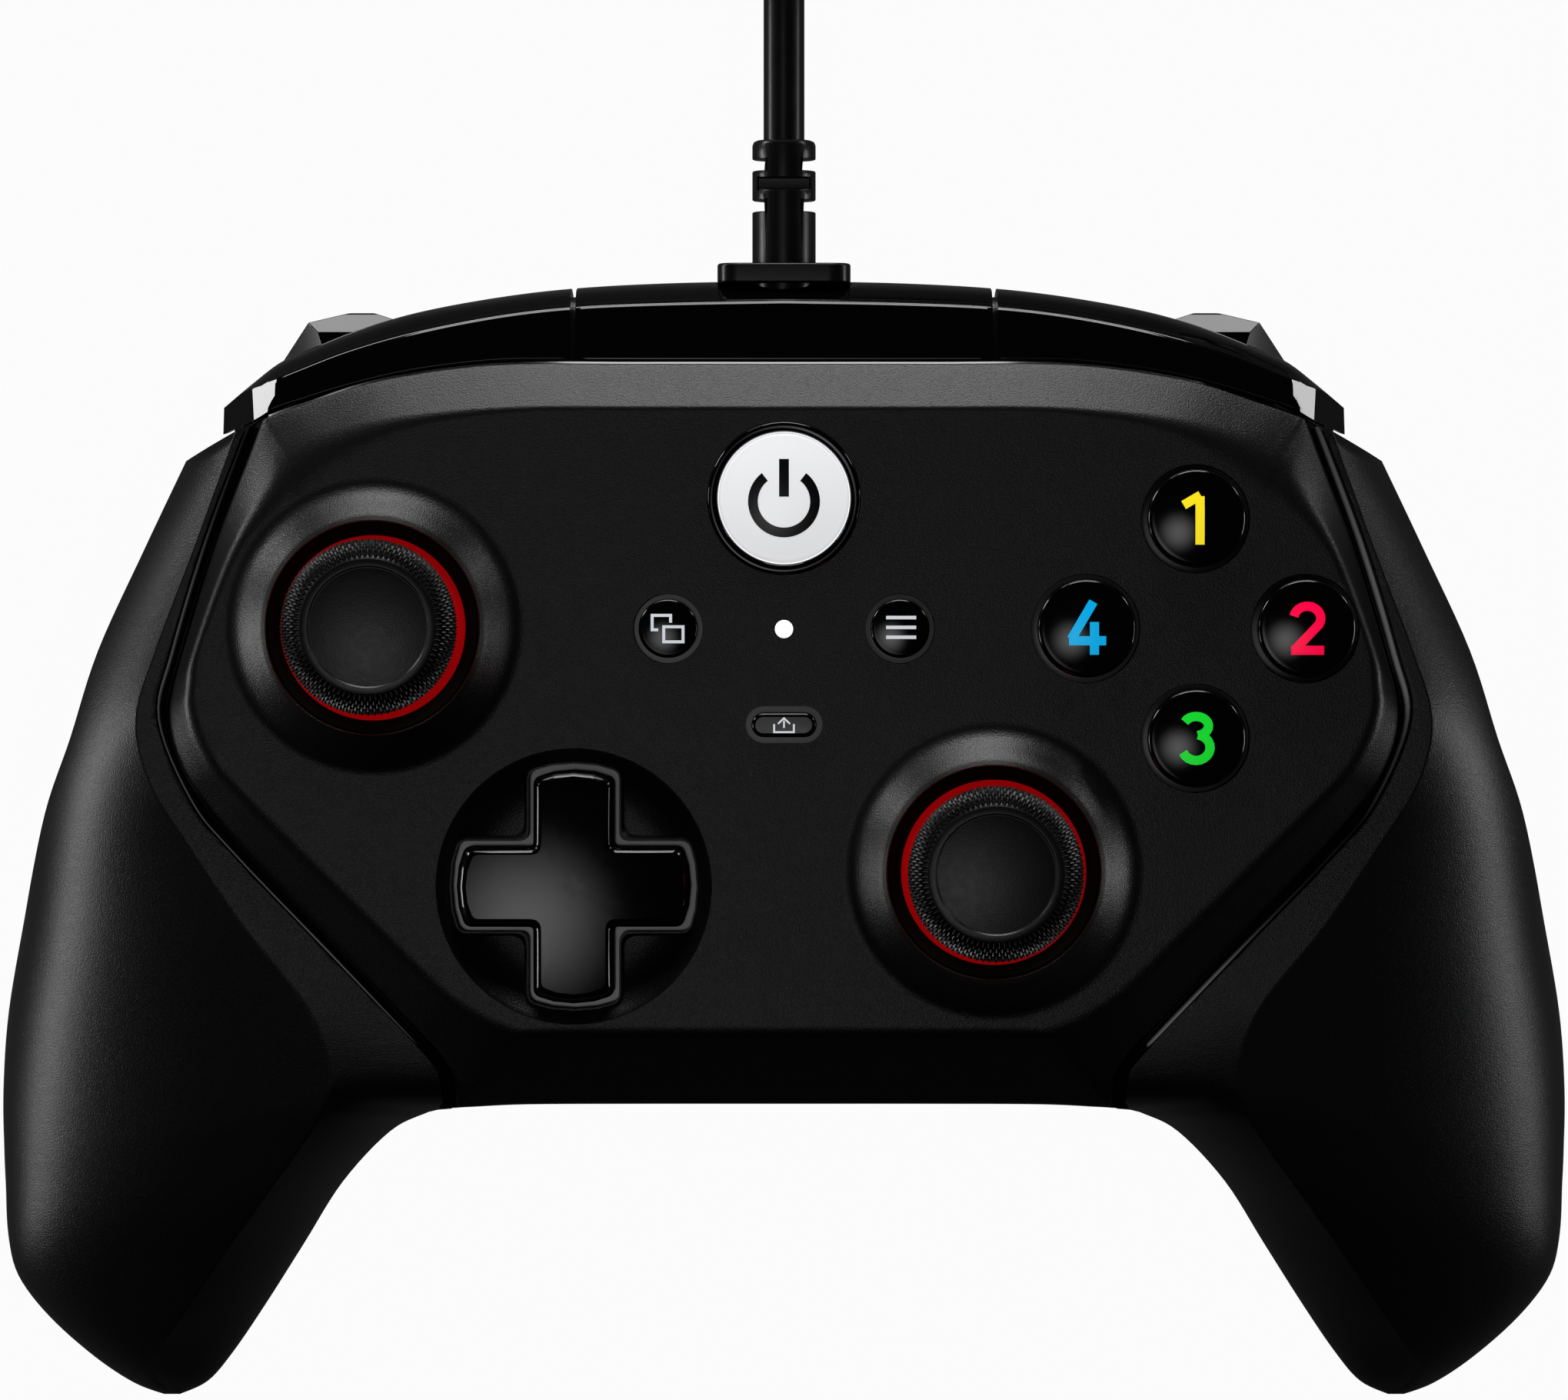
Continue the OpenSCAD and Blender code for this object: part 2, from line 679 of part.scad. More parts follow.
function lookup_row(rows, x) = let (
  i = max([for (k = [0:len(rows) - 2]) if (rows[k][0] >= x) k]),
  t = (x - rows[i][0]) / (rows[i + 1][0] - rows[i][0])
) rows[i] + t * (rows[i + 1] - rows[i]);

module shoulder_bridge() {
  xs = [for (k = [-6:6]) bridge_half * k / 6];
  gloss() difference() {
    union() {
      loft([for (x = xs) let (r = shoulder_at(-abs(x)))
        shoulder_ring([x, r[1], r[2], r[3], r[4]], part_z)]);
      block([-bridge_half + 1, 43.7, ledge_z - 2], [bridge_half - 1, 47.2, ledge_z]);
    }
    along_y([0, 0, plug_z], sleeve_d / 2 + seat, 40, 60);
    block([-5, 42, plug_z - 2.2], [5, 48.5, ledge_z + 0.1]);
  }
}

module bumper_frame() {
  translate(bumper_hinge_at) rotate([0, 0, bumper_hinge_turn]) children();
}

function bumper_hinge_x(x) = (x - bumper_hinge_at.x) / cos(bumper_hinge_turn);

module bumper() {
  start = -(bridge_half + bumper_gap);
  end = shoulder_rows[len(shoulder_rows) - 1][0] + 0.01;
  rows = [for (k = [0:bumper_rings]) start + (end - start) * k / bumper_rings];
  difference() {
    union() {
      loft([for (k = [bumper_rings:-1:0]) shoulder_ring(shoulder_at(rows[k]), bumper_low_z)]);
      for (lug = bumper_lugs) bumper_frame() translate([bumper_hinge_x(lug[0]), 0, 0]) {
        along_x([0, 0, 0], bumper_lug_r, 4);
        block([-2, 0, -1.2], [2, lug[1], 1.5]);
      }
    }
    bumper_frame() along_x([0, 0, 0], bumper_pin_r + fit, bumper_pin_l + 2 * pin_room);
  }
}

module left_bumper() {
  gloss() bumper();
}

module right_bumper() {
  gloss() mirror([1, 0, 0]) bumper();
}

module bumper_pins() {
  metal() for (s = [0, 1]) mirror([s, 0, 0]) bumper_frame()
    along_x([0, 0, 0], bumper_pin_r, bumper_pin_l);
}

switch_size = [3.8, 4, 4.6];
switch_at = [37.2, 45.4];
shelf_z = 28.4;

module bumper_switches() {
  color([0.2, 0.2, 0.22]) for (s = [-1, 1]) {
    translate([s * switch_at.x, switch_at.y, shelf_z]) {
      translate([-switch_size.x / 2, -switch_size.y / 2, 0]) cube(switch_size);
      cylinder(r = 1.1, h = switch_size.z + 3);
    }
  }
}

// Mid frame and triggers

module frame_half() {
  block([-50, 34, part_z], [0.1, 36.8, 28]);
  block([-39.6, 36.6, 26.4], [-34.4, switch_at.y + 2.1, shelf_z]);
  for (x = fork_x) block([-x - fork_w, 36.6, part_z], [-x, trigger_axis_y + 1.9, 25.6]);
  for (x = bumper_post_x) bumper_frame()
    block([bumper_hinge_x(x) - 1.4, -7, -9.6], [bumper_hinge_x(x) + 1.4, 1.4, 1.3]);
}

module mid_frame() {
  color([0.16, 0.16, 0.17]) difference() {
    for (s = [0, 1]) mirror([s, 0, 0]) frame_half();
    for (s = [0, 1]) mirror([s, 0, 0]) {
      bumper_frame() along_x([0, 0, 0], bumper_pin_r, 60);
      along_x([-38, trigger_axis_y, trigger_axis_z], trigger_pin_r, 30);
    }
  }
}

module trigger_pins() {
  metal() for (s = [-1, 1]) along_x([s * 38.3, trigger_axis_y, trigger_axis_z], trigger_pin_r, 16.8);
}

// Prism of a profile in Y and Z, from x0 to x1
module profile_x(profile, x0, x1) {
  translate([x0, 0, 0]) rotate([90, 0, 90]) linear_extrude(x1 - x0) polygon(profile);
}

module trigger() {
  curve = smooth(trigger_profile, 3);
  difference() {
    union() {
      intersection() {
        profile_x(curve, -52, -29);
        slab(trigger_plan, 0, 30);
      }
      along_x([-(trigger_hub_x[0] + trigger_hub_x[1]) / 2, trigger_axis_y, trigger_axis_z],
        trigger_hub_r, trigger_hub_x[1] - trigger_hub_x[0]);
      block([-trigger_hub_x[1], trigger_axis_y, 20.7], [-trigger_hub_x[0], 47, 22.6]);
    }
    along_x([-38, trigger_axis_y, trigger_axis_z], trigger_pin_r + fit, 40);
  }
}

module left_trigger() {
  gloss() trigger();
}

module right_trigger() {
  gloss() mirror([1, 0, 0]) trigger();
}

// Board and what stands on it

module main_board() {
  board_green() difference() {
    slab(both(board_half), board_top_z - board_t, board_top_z);
    for (s = [-1, 1], p = board_posts) post([s * p.x, p.y], peg_r + fit, 20, 40);
  }
}

module membrane_dome(at) {
  translate([at.x, at.y, board_top_z + 1]) cylinder(r1 = 3.6, r2 = 2.4, h = dome_top_z - board_top_z - 1);
}

module button_membrane() {
  rubber() {
    translate([face_keys_at.x, face_keys_at.y, board_top_z]) linear_extrude(1.2) rotate(45)
      offset(3.2) square(14, center = true);
    for (k = [0:3]) membrane_dome(face_key_at(k));
  }
}

pad_stem_reach = 8.5;

module pad_membrane() {
  rubber() difference() {
    union() {
      post(pad_at, 12.4, board_top_z, board_top_z + 1.2);
      for (k = [0:3]) membrane_dome(pad_at + pad_stem_reach * [sin(90 * k), cos(90 * k)]);
    }
    translate([pad_at.x, pad_at.y, 30]) linear_extrude(9) square([10.6, 7.2], center = true);
  }
}

pad_post_x = 4.4;
pad_carrier_half = [3, 2.2, 1.2];
pad_pin_r = 0.8;

module pad_mount() {
  plastic() translate([pad_at.x, pad_at.y, 0]) difference() {
    union() {
      block([-5.2, -3.5, board_top_z], [5.2, 3.5, board_top_z + 1]);
      for (s = [-1, 1]) translate([s * pad_post_x, 0, 0])
        block([-0.7, -1.8, board_top_z], [0.7, 1.8, pad_pivot_z + 1.3]);
    }
    along_x([0, 0, pad_pivot_z], pad_pin_r + fit, 20);
  }
}

module pad_carrier() {
  rubber() translate([pad_at.x, pad_at.y, pad_pivot_z]) {
    translate(-pad_carrier_half) cube(2 * pad_carrier_half);
    along_x([0, 0, 0], pad_pin_r, 2 * pad_post_x + 1);
    along_y([0, 0, 0], pad_pin_r, -4.2, 4.2);
  }
}

module pad_cross() {
  flange_low = pad_pivot_z + 2.2;
  gloss() translate([pad_at.x, pad_at.y, 0]) difference() {
    union() {
      translate([0, 0, flange_low]) linear_extrude(face_z + pad_h - 0.6 - flange_low)
        cross_shape(pad_half, pad_arm, 0);
      intersection() {
        for (a = [0, 90]) rotate(a) hull() {
          translate([0, 0, face_z + pad_h - 1]) linear_extrude(0.4)
            square([2 * pad_half + 1, pad_arm], center = true);
          translate([0, 0, face_z + pad_h - 0.3]) linear_extrude(0.3)
            square([2 * pad_half - 0.2, pad_arm - 1.1], center = true);
        }
        post([0, 0], pad_half, 40, 60);
      }
      post([0, 0], dish_r - 0.4, flange_low, flange_low + flange_t);
      for (k = [0:3])
        post(pad_stem_reach * [sin(90 * k), cos(90 * k)], 2, flange_low - 2.4, flange_low + 0.1);
      for (s = [-1, 1]) block([-2, s * 3.3 - 0.6, pad_pivot_z - 1.5], [2, s * 3.3 + 0.6, flange_low + 0.1]);
    }
    along_y([0, 0, pad_pivot_z], pad_pin_r + fit, -6, 6);
    translate([0, 0, face_z + pad_h + 88.9]) sphere(r = 90, $fn = 128);
  }
}

// Buttons

module crown(at, r, top_z, drop) {
  translate([at.x, at.y, 0]) rotate_extrude($fn = 64) polygon(concat(
    [[0, plate_low_z - 1], [r, plate_low_z - 1]],
    [for (k = [0:5]) [r - 0.5 + 0.5 * cos(18 * k), top_z - drop - 0.5 + 0.5 * sin(18 * k)]],
    [for (k = [4:-1:0]) let (x = (r - 0.5) * k / 5) [x, top_z - drop * pow(x / (r - 0.5), 2)]]
  ));
}

module face_button(k) {
  at = face_key_at(k);
  gloss() {
    crown(at, face_key_r, face_z + face_key_h, 0.9);
    post(at, face_key_r + key_flange, flange_top_z - flange_t, flange_top_z);
    post(at, 2.8, key_low_z, flange_top_z);
  }
}

module north_button() { face_button(0); }
module east_button() { face_button(1); }
module south_button() { face_button(2); }
module west_button() { face_button(3); }

module small_button(at) {
  gloss() {
    crown(at, small_key_r, face_z + small_key_h, 0.15);
    post(at, small_key_r + key_flange, flange_top_z - flange_t, flange_top_z);
    post(at, 1.6, key_low_z, flange_top_z);
  }
}

module view_button() { small_button(view_at); }
module menu_button() { small_button(menu_at); }

module share_button() {
  gloss() translate([share_at.x, share_at.y, 0]) {
    translate([0, 0, plate_low_z - 1]) linear_extrude(shell_wall + 1 + small_key_h)
      stadium(share_size.x, share_size.y);
    translate([0, 0, flange_top_z - flange_t]) linear_extrude(flange_t)
      stadium(share_size.x + 2, share_size.y + 2);
    post([0, 0], 1.1, key_low_z, flange_top_z);
  }
}

module guide_button() {
  color([0.95, 0.95, 0.96]) {
    crown(guide_at, guide_r, face_z + 1.1, 0.6);
    post(guide_at, guide_r + key_flange, flange_top_z - flange_t, flange_top_z);
    post(guide_at, 2, key_low_z, flange_top_z);
  }
}

// Thumbsticks

module stick_module(at) {
  color([0.2, 0.2, 0.22]) translate([at.x, at.y, board_top_z]) difference() {
    translate([-stick_box / 2, -stick_box / 2, 0]) cube([stick_box, stick_box, stick_box_h]);
    translate([stick_wall - stick_box / 2, stick_wall - stick_box / 2, 1.2])
      cube([stick_box - 2 * stick_wall, stick_box - 2 * stick_wall, 20]);
    along_x([0, 0, pivot_z - board_top_z], yoke_pin_r + fit, 30);
  }
}

module left_stick_module() { stick_module(left_stick_at); }
module right_stick_module() { stick_module(right_stick_at); }

module stick_yoke(at) {
  rubber() translate([at.x, at.y, pivot_z]) difference() {
    union() {
      cube([2 * yoke_half, 2 * yoke_half, gimbal_h], center = true);
      along_x([0, 0, 0], yoke_pin_r, stick_box - 0.8);
    }
    cube([2 * yoke_hole, 2 * yoke_hole, 9], center = true);
    along_y([0, 0, 0], cradle_pin_r + fit, -9, 9);
  }
}

module left_stick_yoke() { stick_yoke(left_stick_at); }
module right_stick_yoke() { stick_yoke(right_stick_at); }

module stick_cradle(at) {
  plastic() translate([at.x, at.y, pivot_z]) difference() {
    union() {
      cube([2 * cradle_x, 2 * cradle_y, gimbal_h], center = true);
      along_y([0, 0, 0], cradle_pin_r, -yoke_half + 0.3, yoke_half - 0.3);
    }
    cylinder(r = post_r + fit, h = 12, center = true);
  }
}

module left_stick_cradle() { stick_cradle(left_stick_at); }
module right_stick_cradle() { stick_cradle(right_stick_at); }

cap_low_z = cap_top_z - cap_h;
neck_top_z = cap_low_z + 1.6;
skirt_turn = 64;

module stick_post(at) {
  red() translate([at.x, at.y, pivot_z]) {
    translate([0, 0, -2.2]) cylinder(r = post_r, h = 8);
    translate([0, 0, gimbal_h / 2 + click_travel + 0.4]) cylinder(r = 2.4, h = skirt_r - 3.5);
    translate([0, 0, skirt_r - skirt_t - join])
      cylinder(r = neck_r, h = neck_top_z - pivot_z - skirt_r + skirt_t + join);
    rotate_extrude($fn = 72) polygon(concat(
      [for (k = [0:12]) let (a = skirt_turn * k / 12) skirt_r * [sin(a), cos(a)]],
      [for (k = [12:-1:0]) let (a = skirt_turn * k / 12) (skirt_r - skirt_t) * [sin(a), cos(a)]]
    ));
  }
}

module left_stick_post() { stick_post(left_stick_at); }
module right_stick_post() { stick_post(right_stick_at); }

module stick_cap(at) {
  plastic() translate([at.x, at.y, 0]) difference() {
    rotate_extrude($fn = 72) polygon([
      [0, cap_low_z], [5.6, cap_low_z], [cap_r - 1.2, cap_low_z + 1], [cap_r, cap_low_z + 2.6],
      [cap_r, cap_top_z - 1.2], [cap_r - 1, cap_top_z - 0.2], [cap_r - 1.6, cap_top_z],
      [6.4, cap_top_z - 0.25], [5.7, cap_top_z - 0.6], [3.8, cap_top_z - 1.3], [2, cap_top_z - 1.6],
      [0, cap_top_z - 1.7]
    ]);
    translate([0, 0, cap_low_z - 1]) cylinder(r = neck_r, h = neck_top_z - cap_low_z + 1);
    translate([0, 0, pivot_z]) sphere(r = skirt_r + skirt_room, $fn = 64);
  }
}

module left_stick_cap() { stick_cap(left_stick_at); }
module right_stick_cap() { stick_cap(right_stick_at); }

// Rumble motors

module motor() {
  metal() {
    translate(motor_at) rotate([90, 0, 0]) cylinder(r = motor_r, h = motor_l, center = true);
    along_y(motor_at, 1, motor_at.y - motor_l / 2 - 1.4, motor_at.y);
  }
}

module cradle_ribs() {
  plastic() difference() {
    translate(motor_at) rotate([90, 0, 0])
      cylinder(r = weight_r + motor_room, h = 6, center = true);
    translate(motor_at) rotate([90, 0, 0]) cylinder(r = motor_r, h = 20, center = true);
  }
}

module left_rumble_motor() {
  motor();
  cradle_ribs();
}

module right_rumble_motor() {
  mirror([1, 0, 0]) {
    motor();
    cradle_ribs();
  }
}

module weight() {
  y0 = motor_at.y - motor_l / 2 - 0.5 - weight_l;
  metal() difference() {
    union() {
      along_y(motor_at, 2.2, y0, y0 + weight_l);
      intersection() {
        along_y(motor_at, weight_r, y0, y0 + weight_l);
        block([-90, -90, motor_at.z - 20], [0, 0, motor_at.z]);
      }
    }
    along_y(motor_at, 1 + fit, motor_at.y - motor_l / 2 - 3, 0);
  }
}

module left_rumble_weight() { weight(); }
module right_rumble_weight() { mirror([1, 0, 0]) weight(); }

// Sockets and cable

socket_y = [44.5, 50.6];

module usb_socket() {
  metal() difference() {
    translate([0, 0, board_top_z]) block([-4.5, socket_y[0], 0], [4.5, socket_y[1], 3.2]);
    translate([0, 0, plug_z]) block([-4.1, socket_y[0] + 1.2, -1.2], [4.1, socket_y[1] + 1, 1.2]);
  }
}

module headset_jack() {
  color([0.07, 0.07, 0.075]) difference() {
    union() {
      block([-3.5, -22, board_top_z], [3.5, -10, board_top_z + 5.6]);
      along_y([0, 0, jack_z], 2.8, bottom_y + 0.3, -21);
    }
    along_y([0, 0, jack_z], jack_bore_r, bottom_y - 1, -12.3);
  }
}

slot_rows = [[61.5, 62.6, 0], [63.6, 64.8, 90], [65.5, 66.6, 0]];

module cable_plug() {
  gloss() difference() {
    union() {
      block([-4.1, socket_y[0] + 1.4, plug_z - 1.2], [4.1, 50.9, plug_z + 1.2]);
      along_y([0, 0, plug_z], sleeve_d / 2, 50.7, sleeve_end_y);
      translate([0, flange_y, plug_z]) rotate([-90, 0, 0]) linear_extrude(sleeve_start_y - flange_y)
        offset(1.6) square([flange_w - 3.2, flange_h - 3.2], center = true);
    }
    for (r = slot_rows) translate([0, r[0], plug_z]) rotate([0, r[2], 0]) for (s = [-1, 1])
      translate([s * 2.6, (r[1] - r[0]) / 2, 0]) cube([2.4, r[1] - r[0], 8], center = true);
  }
}

function turned(v, t) = norm(v) > 0 ? v / norm(v) : t;

// Rings of a tube with n sides along points p
function tube_rings(p, r, n) = [
  for (i = [0:len(p) - 1])
    let (d = turned(p[min(i + 1, len(p) - 1)] - p[max(i - 1, 0)], [0, 1, 0]),
      u = turned(cross(d, [0, 0, 1]), [1, 0, 0]), w = cross(u, d))
    [for (k = [0:n - 1]) p[i] + r * (u * cos(full_turn * k / n) + w * sin(full_turn * k / n))]
];

module cable_lead() {
  gloss() loft(tube_rings(lead_route, cable_d / 2, tube_sides));
}

module cable_tail() {
  gloss() loft(tube_rings(tail_route, cable_d / 2, tube_sides));
}

// Coil: loops spiral in and out at a steady rate, and climb a layer around each turning point
coil_steps = coil_loops * loop_rings;
layer_loops = coil_loops / coil_layers;
function coil_share(loops) = let (layer = floor(loops / layer_loops), part = loops / layer_loops - layer)
  layer % 2 == 0 ? part : 1 - part;
function climb(loops) = let (near = round(loops / layer_loops), past = loops - near * layer_loops)
  near == 0 || near == coil_layers ? (near == 0 ? 0 : coil_layers - 1)
  : near - 1 + min(max((past + 0.25) / 0.5, 0), 1);
coil_points = [
  [0, coil_y - cable_d, cable_low_z],
  for (i = [0:coil_steps])
    let (loops = i / loop_rings, a = half_turn - full_turn * loops,
      r = coil_r - coil_share(loops) * layer_loops * coil_pitch)
    [coil_r + r * cos(a), coil_y + r * sin(a), cable_low_z + coil_pitch * climb(loops)],
  [tail_x, coil_y - cable_d, coil_top_z]
];
coil_gap = min([
  for (i = [0:coil_steps - 12]) for (k = [i + 12:coil_steps]) norm(coil_points[i] - coil_points[k])
]) - cable_d;
echo(coil_self_gap = coil_gap);
function run(p) = [for (i = [0:len(p) - 2]) norm(p[i + 1] - p[i])];
function total(v) = v * [for (x = v) 1];
echo(cable_length = total(run(lead_route)) + total(run(coil_points)) + total(run(tail_route)));

module cable_coil() {
  gloss() loft(tube_rings(coil_points, cable_d / 2, coil_sides));
}

tie_w = 6;
tie_t = 0.7;
tie_press = 0.05;
coil_in_r = coil_r - layer_loops * coil_pitch;

// Tie around the far side of the coil, pulled tight over its flat sides
module cable_tie() {
  rise = cable_d / 2 * sin(60) - tie_press;
  low = [coil_y + coil_in_r - cable_d / 2, cable_low_z - rise];
  high = [coil_y + coil_r + cable_d / 2 - tie_press, coil_top_z + rise];
  gloss() translate([coil_r - tie_w / 2, 0, 0]) rotate([90, 0, 90]) linear_extrude(tie_w) difference() {
    translate(low - [tie_t, tie_t]) square(high - low + 2 * [tie_t, tie_t]);
    translate(low) square(high - low);
  }
}

module usb_plug() {
  gloss() translate([tail_x, 0, 0]) {
    along_y([0, 0, usb_plug_z], 3, usb_plug_y - 6, usb_plug_y);
    block([-7.6, usb_plug_y - 22, usb_plug_z - 4], [7.6, usb_plug_y - 5.9, usb_plug_z + 4]);
  }
  metal() translate([tail_x, 0, 0])
    block([-6, usb_plug_y - 34, usb_plug_z - 2.25], [6, usb_plug_y - 21.9, usb_plug_z + 2.25]);
}

front_shell();
rear_cover();
left_grip();
right_grip();
left_seam_trim();
right_seam_trim();
shoulder_bridge();
mid_frame();
main_board();
button_membrane();
pad_membrane();
pad_mount();
left_stick_ring();
right_stick_ring();
left_stick_module();
right_stick_module();
guide_bezel();
status_light();
usb_socket();
headset_jack();
housing_screws();
trigger_pins();
bumper_pins();
bumper_switches();
left_rumble_motor();
right_rumble_motor();
left_rumble_weight();
right_rumble_weight();
left_bumper();
right_bumper();
left_trigger();
right_trigger();
north_button();
east_button();
south_button();
west_button();
view_button();
menu_button();
share_button();
guide_button();
pad_carrier();
pad_cross();
left_stick_yoke();
left_stick_cradle();
left_stick_post();
left_stick_cap();
right_stick_yoke();
right_stick_cradle();
right_stick_post();
right_stick_cap();
left_rear_button();
right_rear_button();
cable_plug();
cable_lead();
cable_coil();
cable_tie();
cable_tail();
usb_plug();
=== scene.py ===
"""Looks of a wired gamepad controller: its shells, keys, sticks and cable, and the studio around it.

Sizes are in millimetres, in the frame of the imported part, and become metres where a mesh is placed.
"""

import logging
import math
from dataclasses import dataclass
from enum import Enum
from typing import Any, Callable, Sequence

import bmesh
import bpy
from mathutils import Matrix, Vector


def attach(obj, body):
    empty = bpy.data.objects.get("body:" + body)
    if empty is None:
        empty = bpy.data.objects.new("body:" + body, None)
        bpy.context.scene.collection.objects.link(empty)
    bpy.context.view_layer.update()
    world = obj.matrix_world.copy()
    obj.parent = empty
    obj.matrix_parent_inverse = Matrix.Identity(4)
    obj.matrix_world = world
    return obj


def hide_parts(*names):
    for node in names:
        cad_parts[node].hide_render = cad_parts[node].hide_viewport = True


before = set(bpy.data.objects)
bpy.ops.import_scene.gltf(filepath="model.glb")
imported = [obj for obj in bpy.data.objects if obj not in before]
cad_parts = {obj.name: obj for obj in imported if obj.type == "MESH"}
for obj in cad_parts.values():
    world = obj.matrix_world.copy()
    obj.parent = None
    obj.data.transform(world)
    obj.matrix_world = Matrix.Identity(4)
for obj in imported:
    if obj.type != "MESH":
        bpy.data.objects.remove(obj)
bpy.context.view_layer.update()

LOG = logging.getLogger("gamepad")
MM = 0.001
FULL_TURN = 2 * math.pi
HOUSING = "housing"
VIEW_Y = 13.8

Point = Sequence[float]
Ring = list[tuple[float, ...]]


class Side(Enum):
    """Which half of the controller a piece belongs to."""

    LEFT = -1
    RIGHT = 1

    @property
    def word(self) -> str:
        """Name of the side as the bodies and nodes spell it."""
        return self.name.lower()


class Cut(Enum):
    """What one solid does to another."""

    AWAY = "DIFFERENCE"
    ADD = "UNION"


# Curves

def mixed(a: Point, b: Point, share: float) -> tuple[float, ...]:
    """Point between a and b."""
    return tuple(p + (q - p) * share for p, q in zip(a, b))


def spline(points: Sequence[Point], steps: int) -> Ring:
    """Smooth curve through points of any dimension.

    Args:
        points: The points that the curve passes through.
        steps: Number of steps between two neighbours.

    Returns:
        The points of the curve, first and last included.
    """
    out = []
    last = len(points) - 1
    for i in range(last):
        a, b, c, d = points[max(i - 1, 0)], points[i], points[i + 1], points[min(i + 2, last)]
        for k in range(steps):
            t = k / steps
            out.append(tuple(
                0.5 * (2 * q + (r - p) * t + (2 * p - 5 * q + 4 * r - s) * t ** 2
                       + (3 * q - p - 3 * r + s) * t ** 3)
                for p, q, r, s in zip(a, b, c, d)))
    out.append(tuple(points[last]))
    return out


def bent(a: Point, corner: Point, b: Point, steps: int) -> Ring:
    """Rounded corner from a to b as a curve of steps + 1 points."""
    return [mixed(mixed(a, corner, k / steps), mixed(corner, b, k / steps), k / steps)
            for k in range(steps + 1)]


def rounded(points: Sequence[Point], radius: float, steps: int = 4) -> Ring:
    """Closed outline with its corners rounded.

    Args:
        points: Corners of the outline.
        radius: Length that each rounding takes from the edges beside it, at most 0.45 of an edge.
        steps: Steps of each rounding.

    Returns:
        The new outline.
    """
    out = []
    for i, corner in enumerate(points):
        ends = []
        for other in (points[i - 1], points[(i + 1) % len(points)]):
            reach = math.dist(corner, other)
            ends.append(mixed(corner, other, min(radius, 0.45 * reach) / reach))
        out += bent(ends[0], corner, ends[1], steps)
    return out


def refined(outline: Sequence[Point], parts: int) -> Ring:
    """Closed outline with each edge cut into equal parts."""
    pairs = zip(outline, [*outline[1:], outline[0]])
    return [mixed(a, b, k / parts) for a, b in pairs for k in range(parts)]


def both_halves(half: Sequence[Point]) -> Ring:
    """Outline of both halves from the left one, which starts and ends at X = 0."""
    return [tuple(p) for p in half] + [(-p[0], *p[1:]) for p in reversed(half[1:-1])]


def offset_line(line: Sequence[Point], by: float) -> Ring:
    """Open line in plan moved sideways, to the left of its direction when by is above 0."""
    out = []
    for i, p in enumerate(line):
        a, b = line[max(i - 1, 0)], line[min(i + 1, len(line) - 1)]
        run = math.dist(a, b)
        out.append((p[0] - by * (b[1] - a[1]) / run, p[1] + by * (b[0] - a[0]) / run))
    return out


def turns(count: int) -> list[float]:
    """Angles of a full turn in equal steps."""
    return [FULL_TURN * k / count for k in range(count)]


def stadium(centre: Point, length: float, width: float) -> Ring:
    """Long outline with round ends."""
    r = width / 2
    return [(centre[0] + s * (length / 2 - r) + r * math.sin(a) * s, centre[1] + r * math.cos(a) * s)
            for s in (1, -1) for a in turns(32)[:17]]


# Modelling

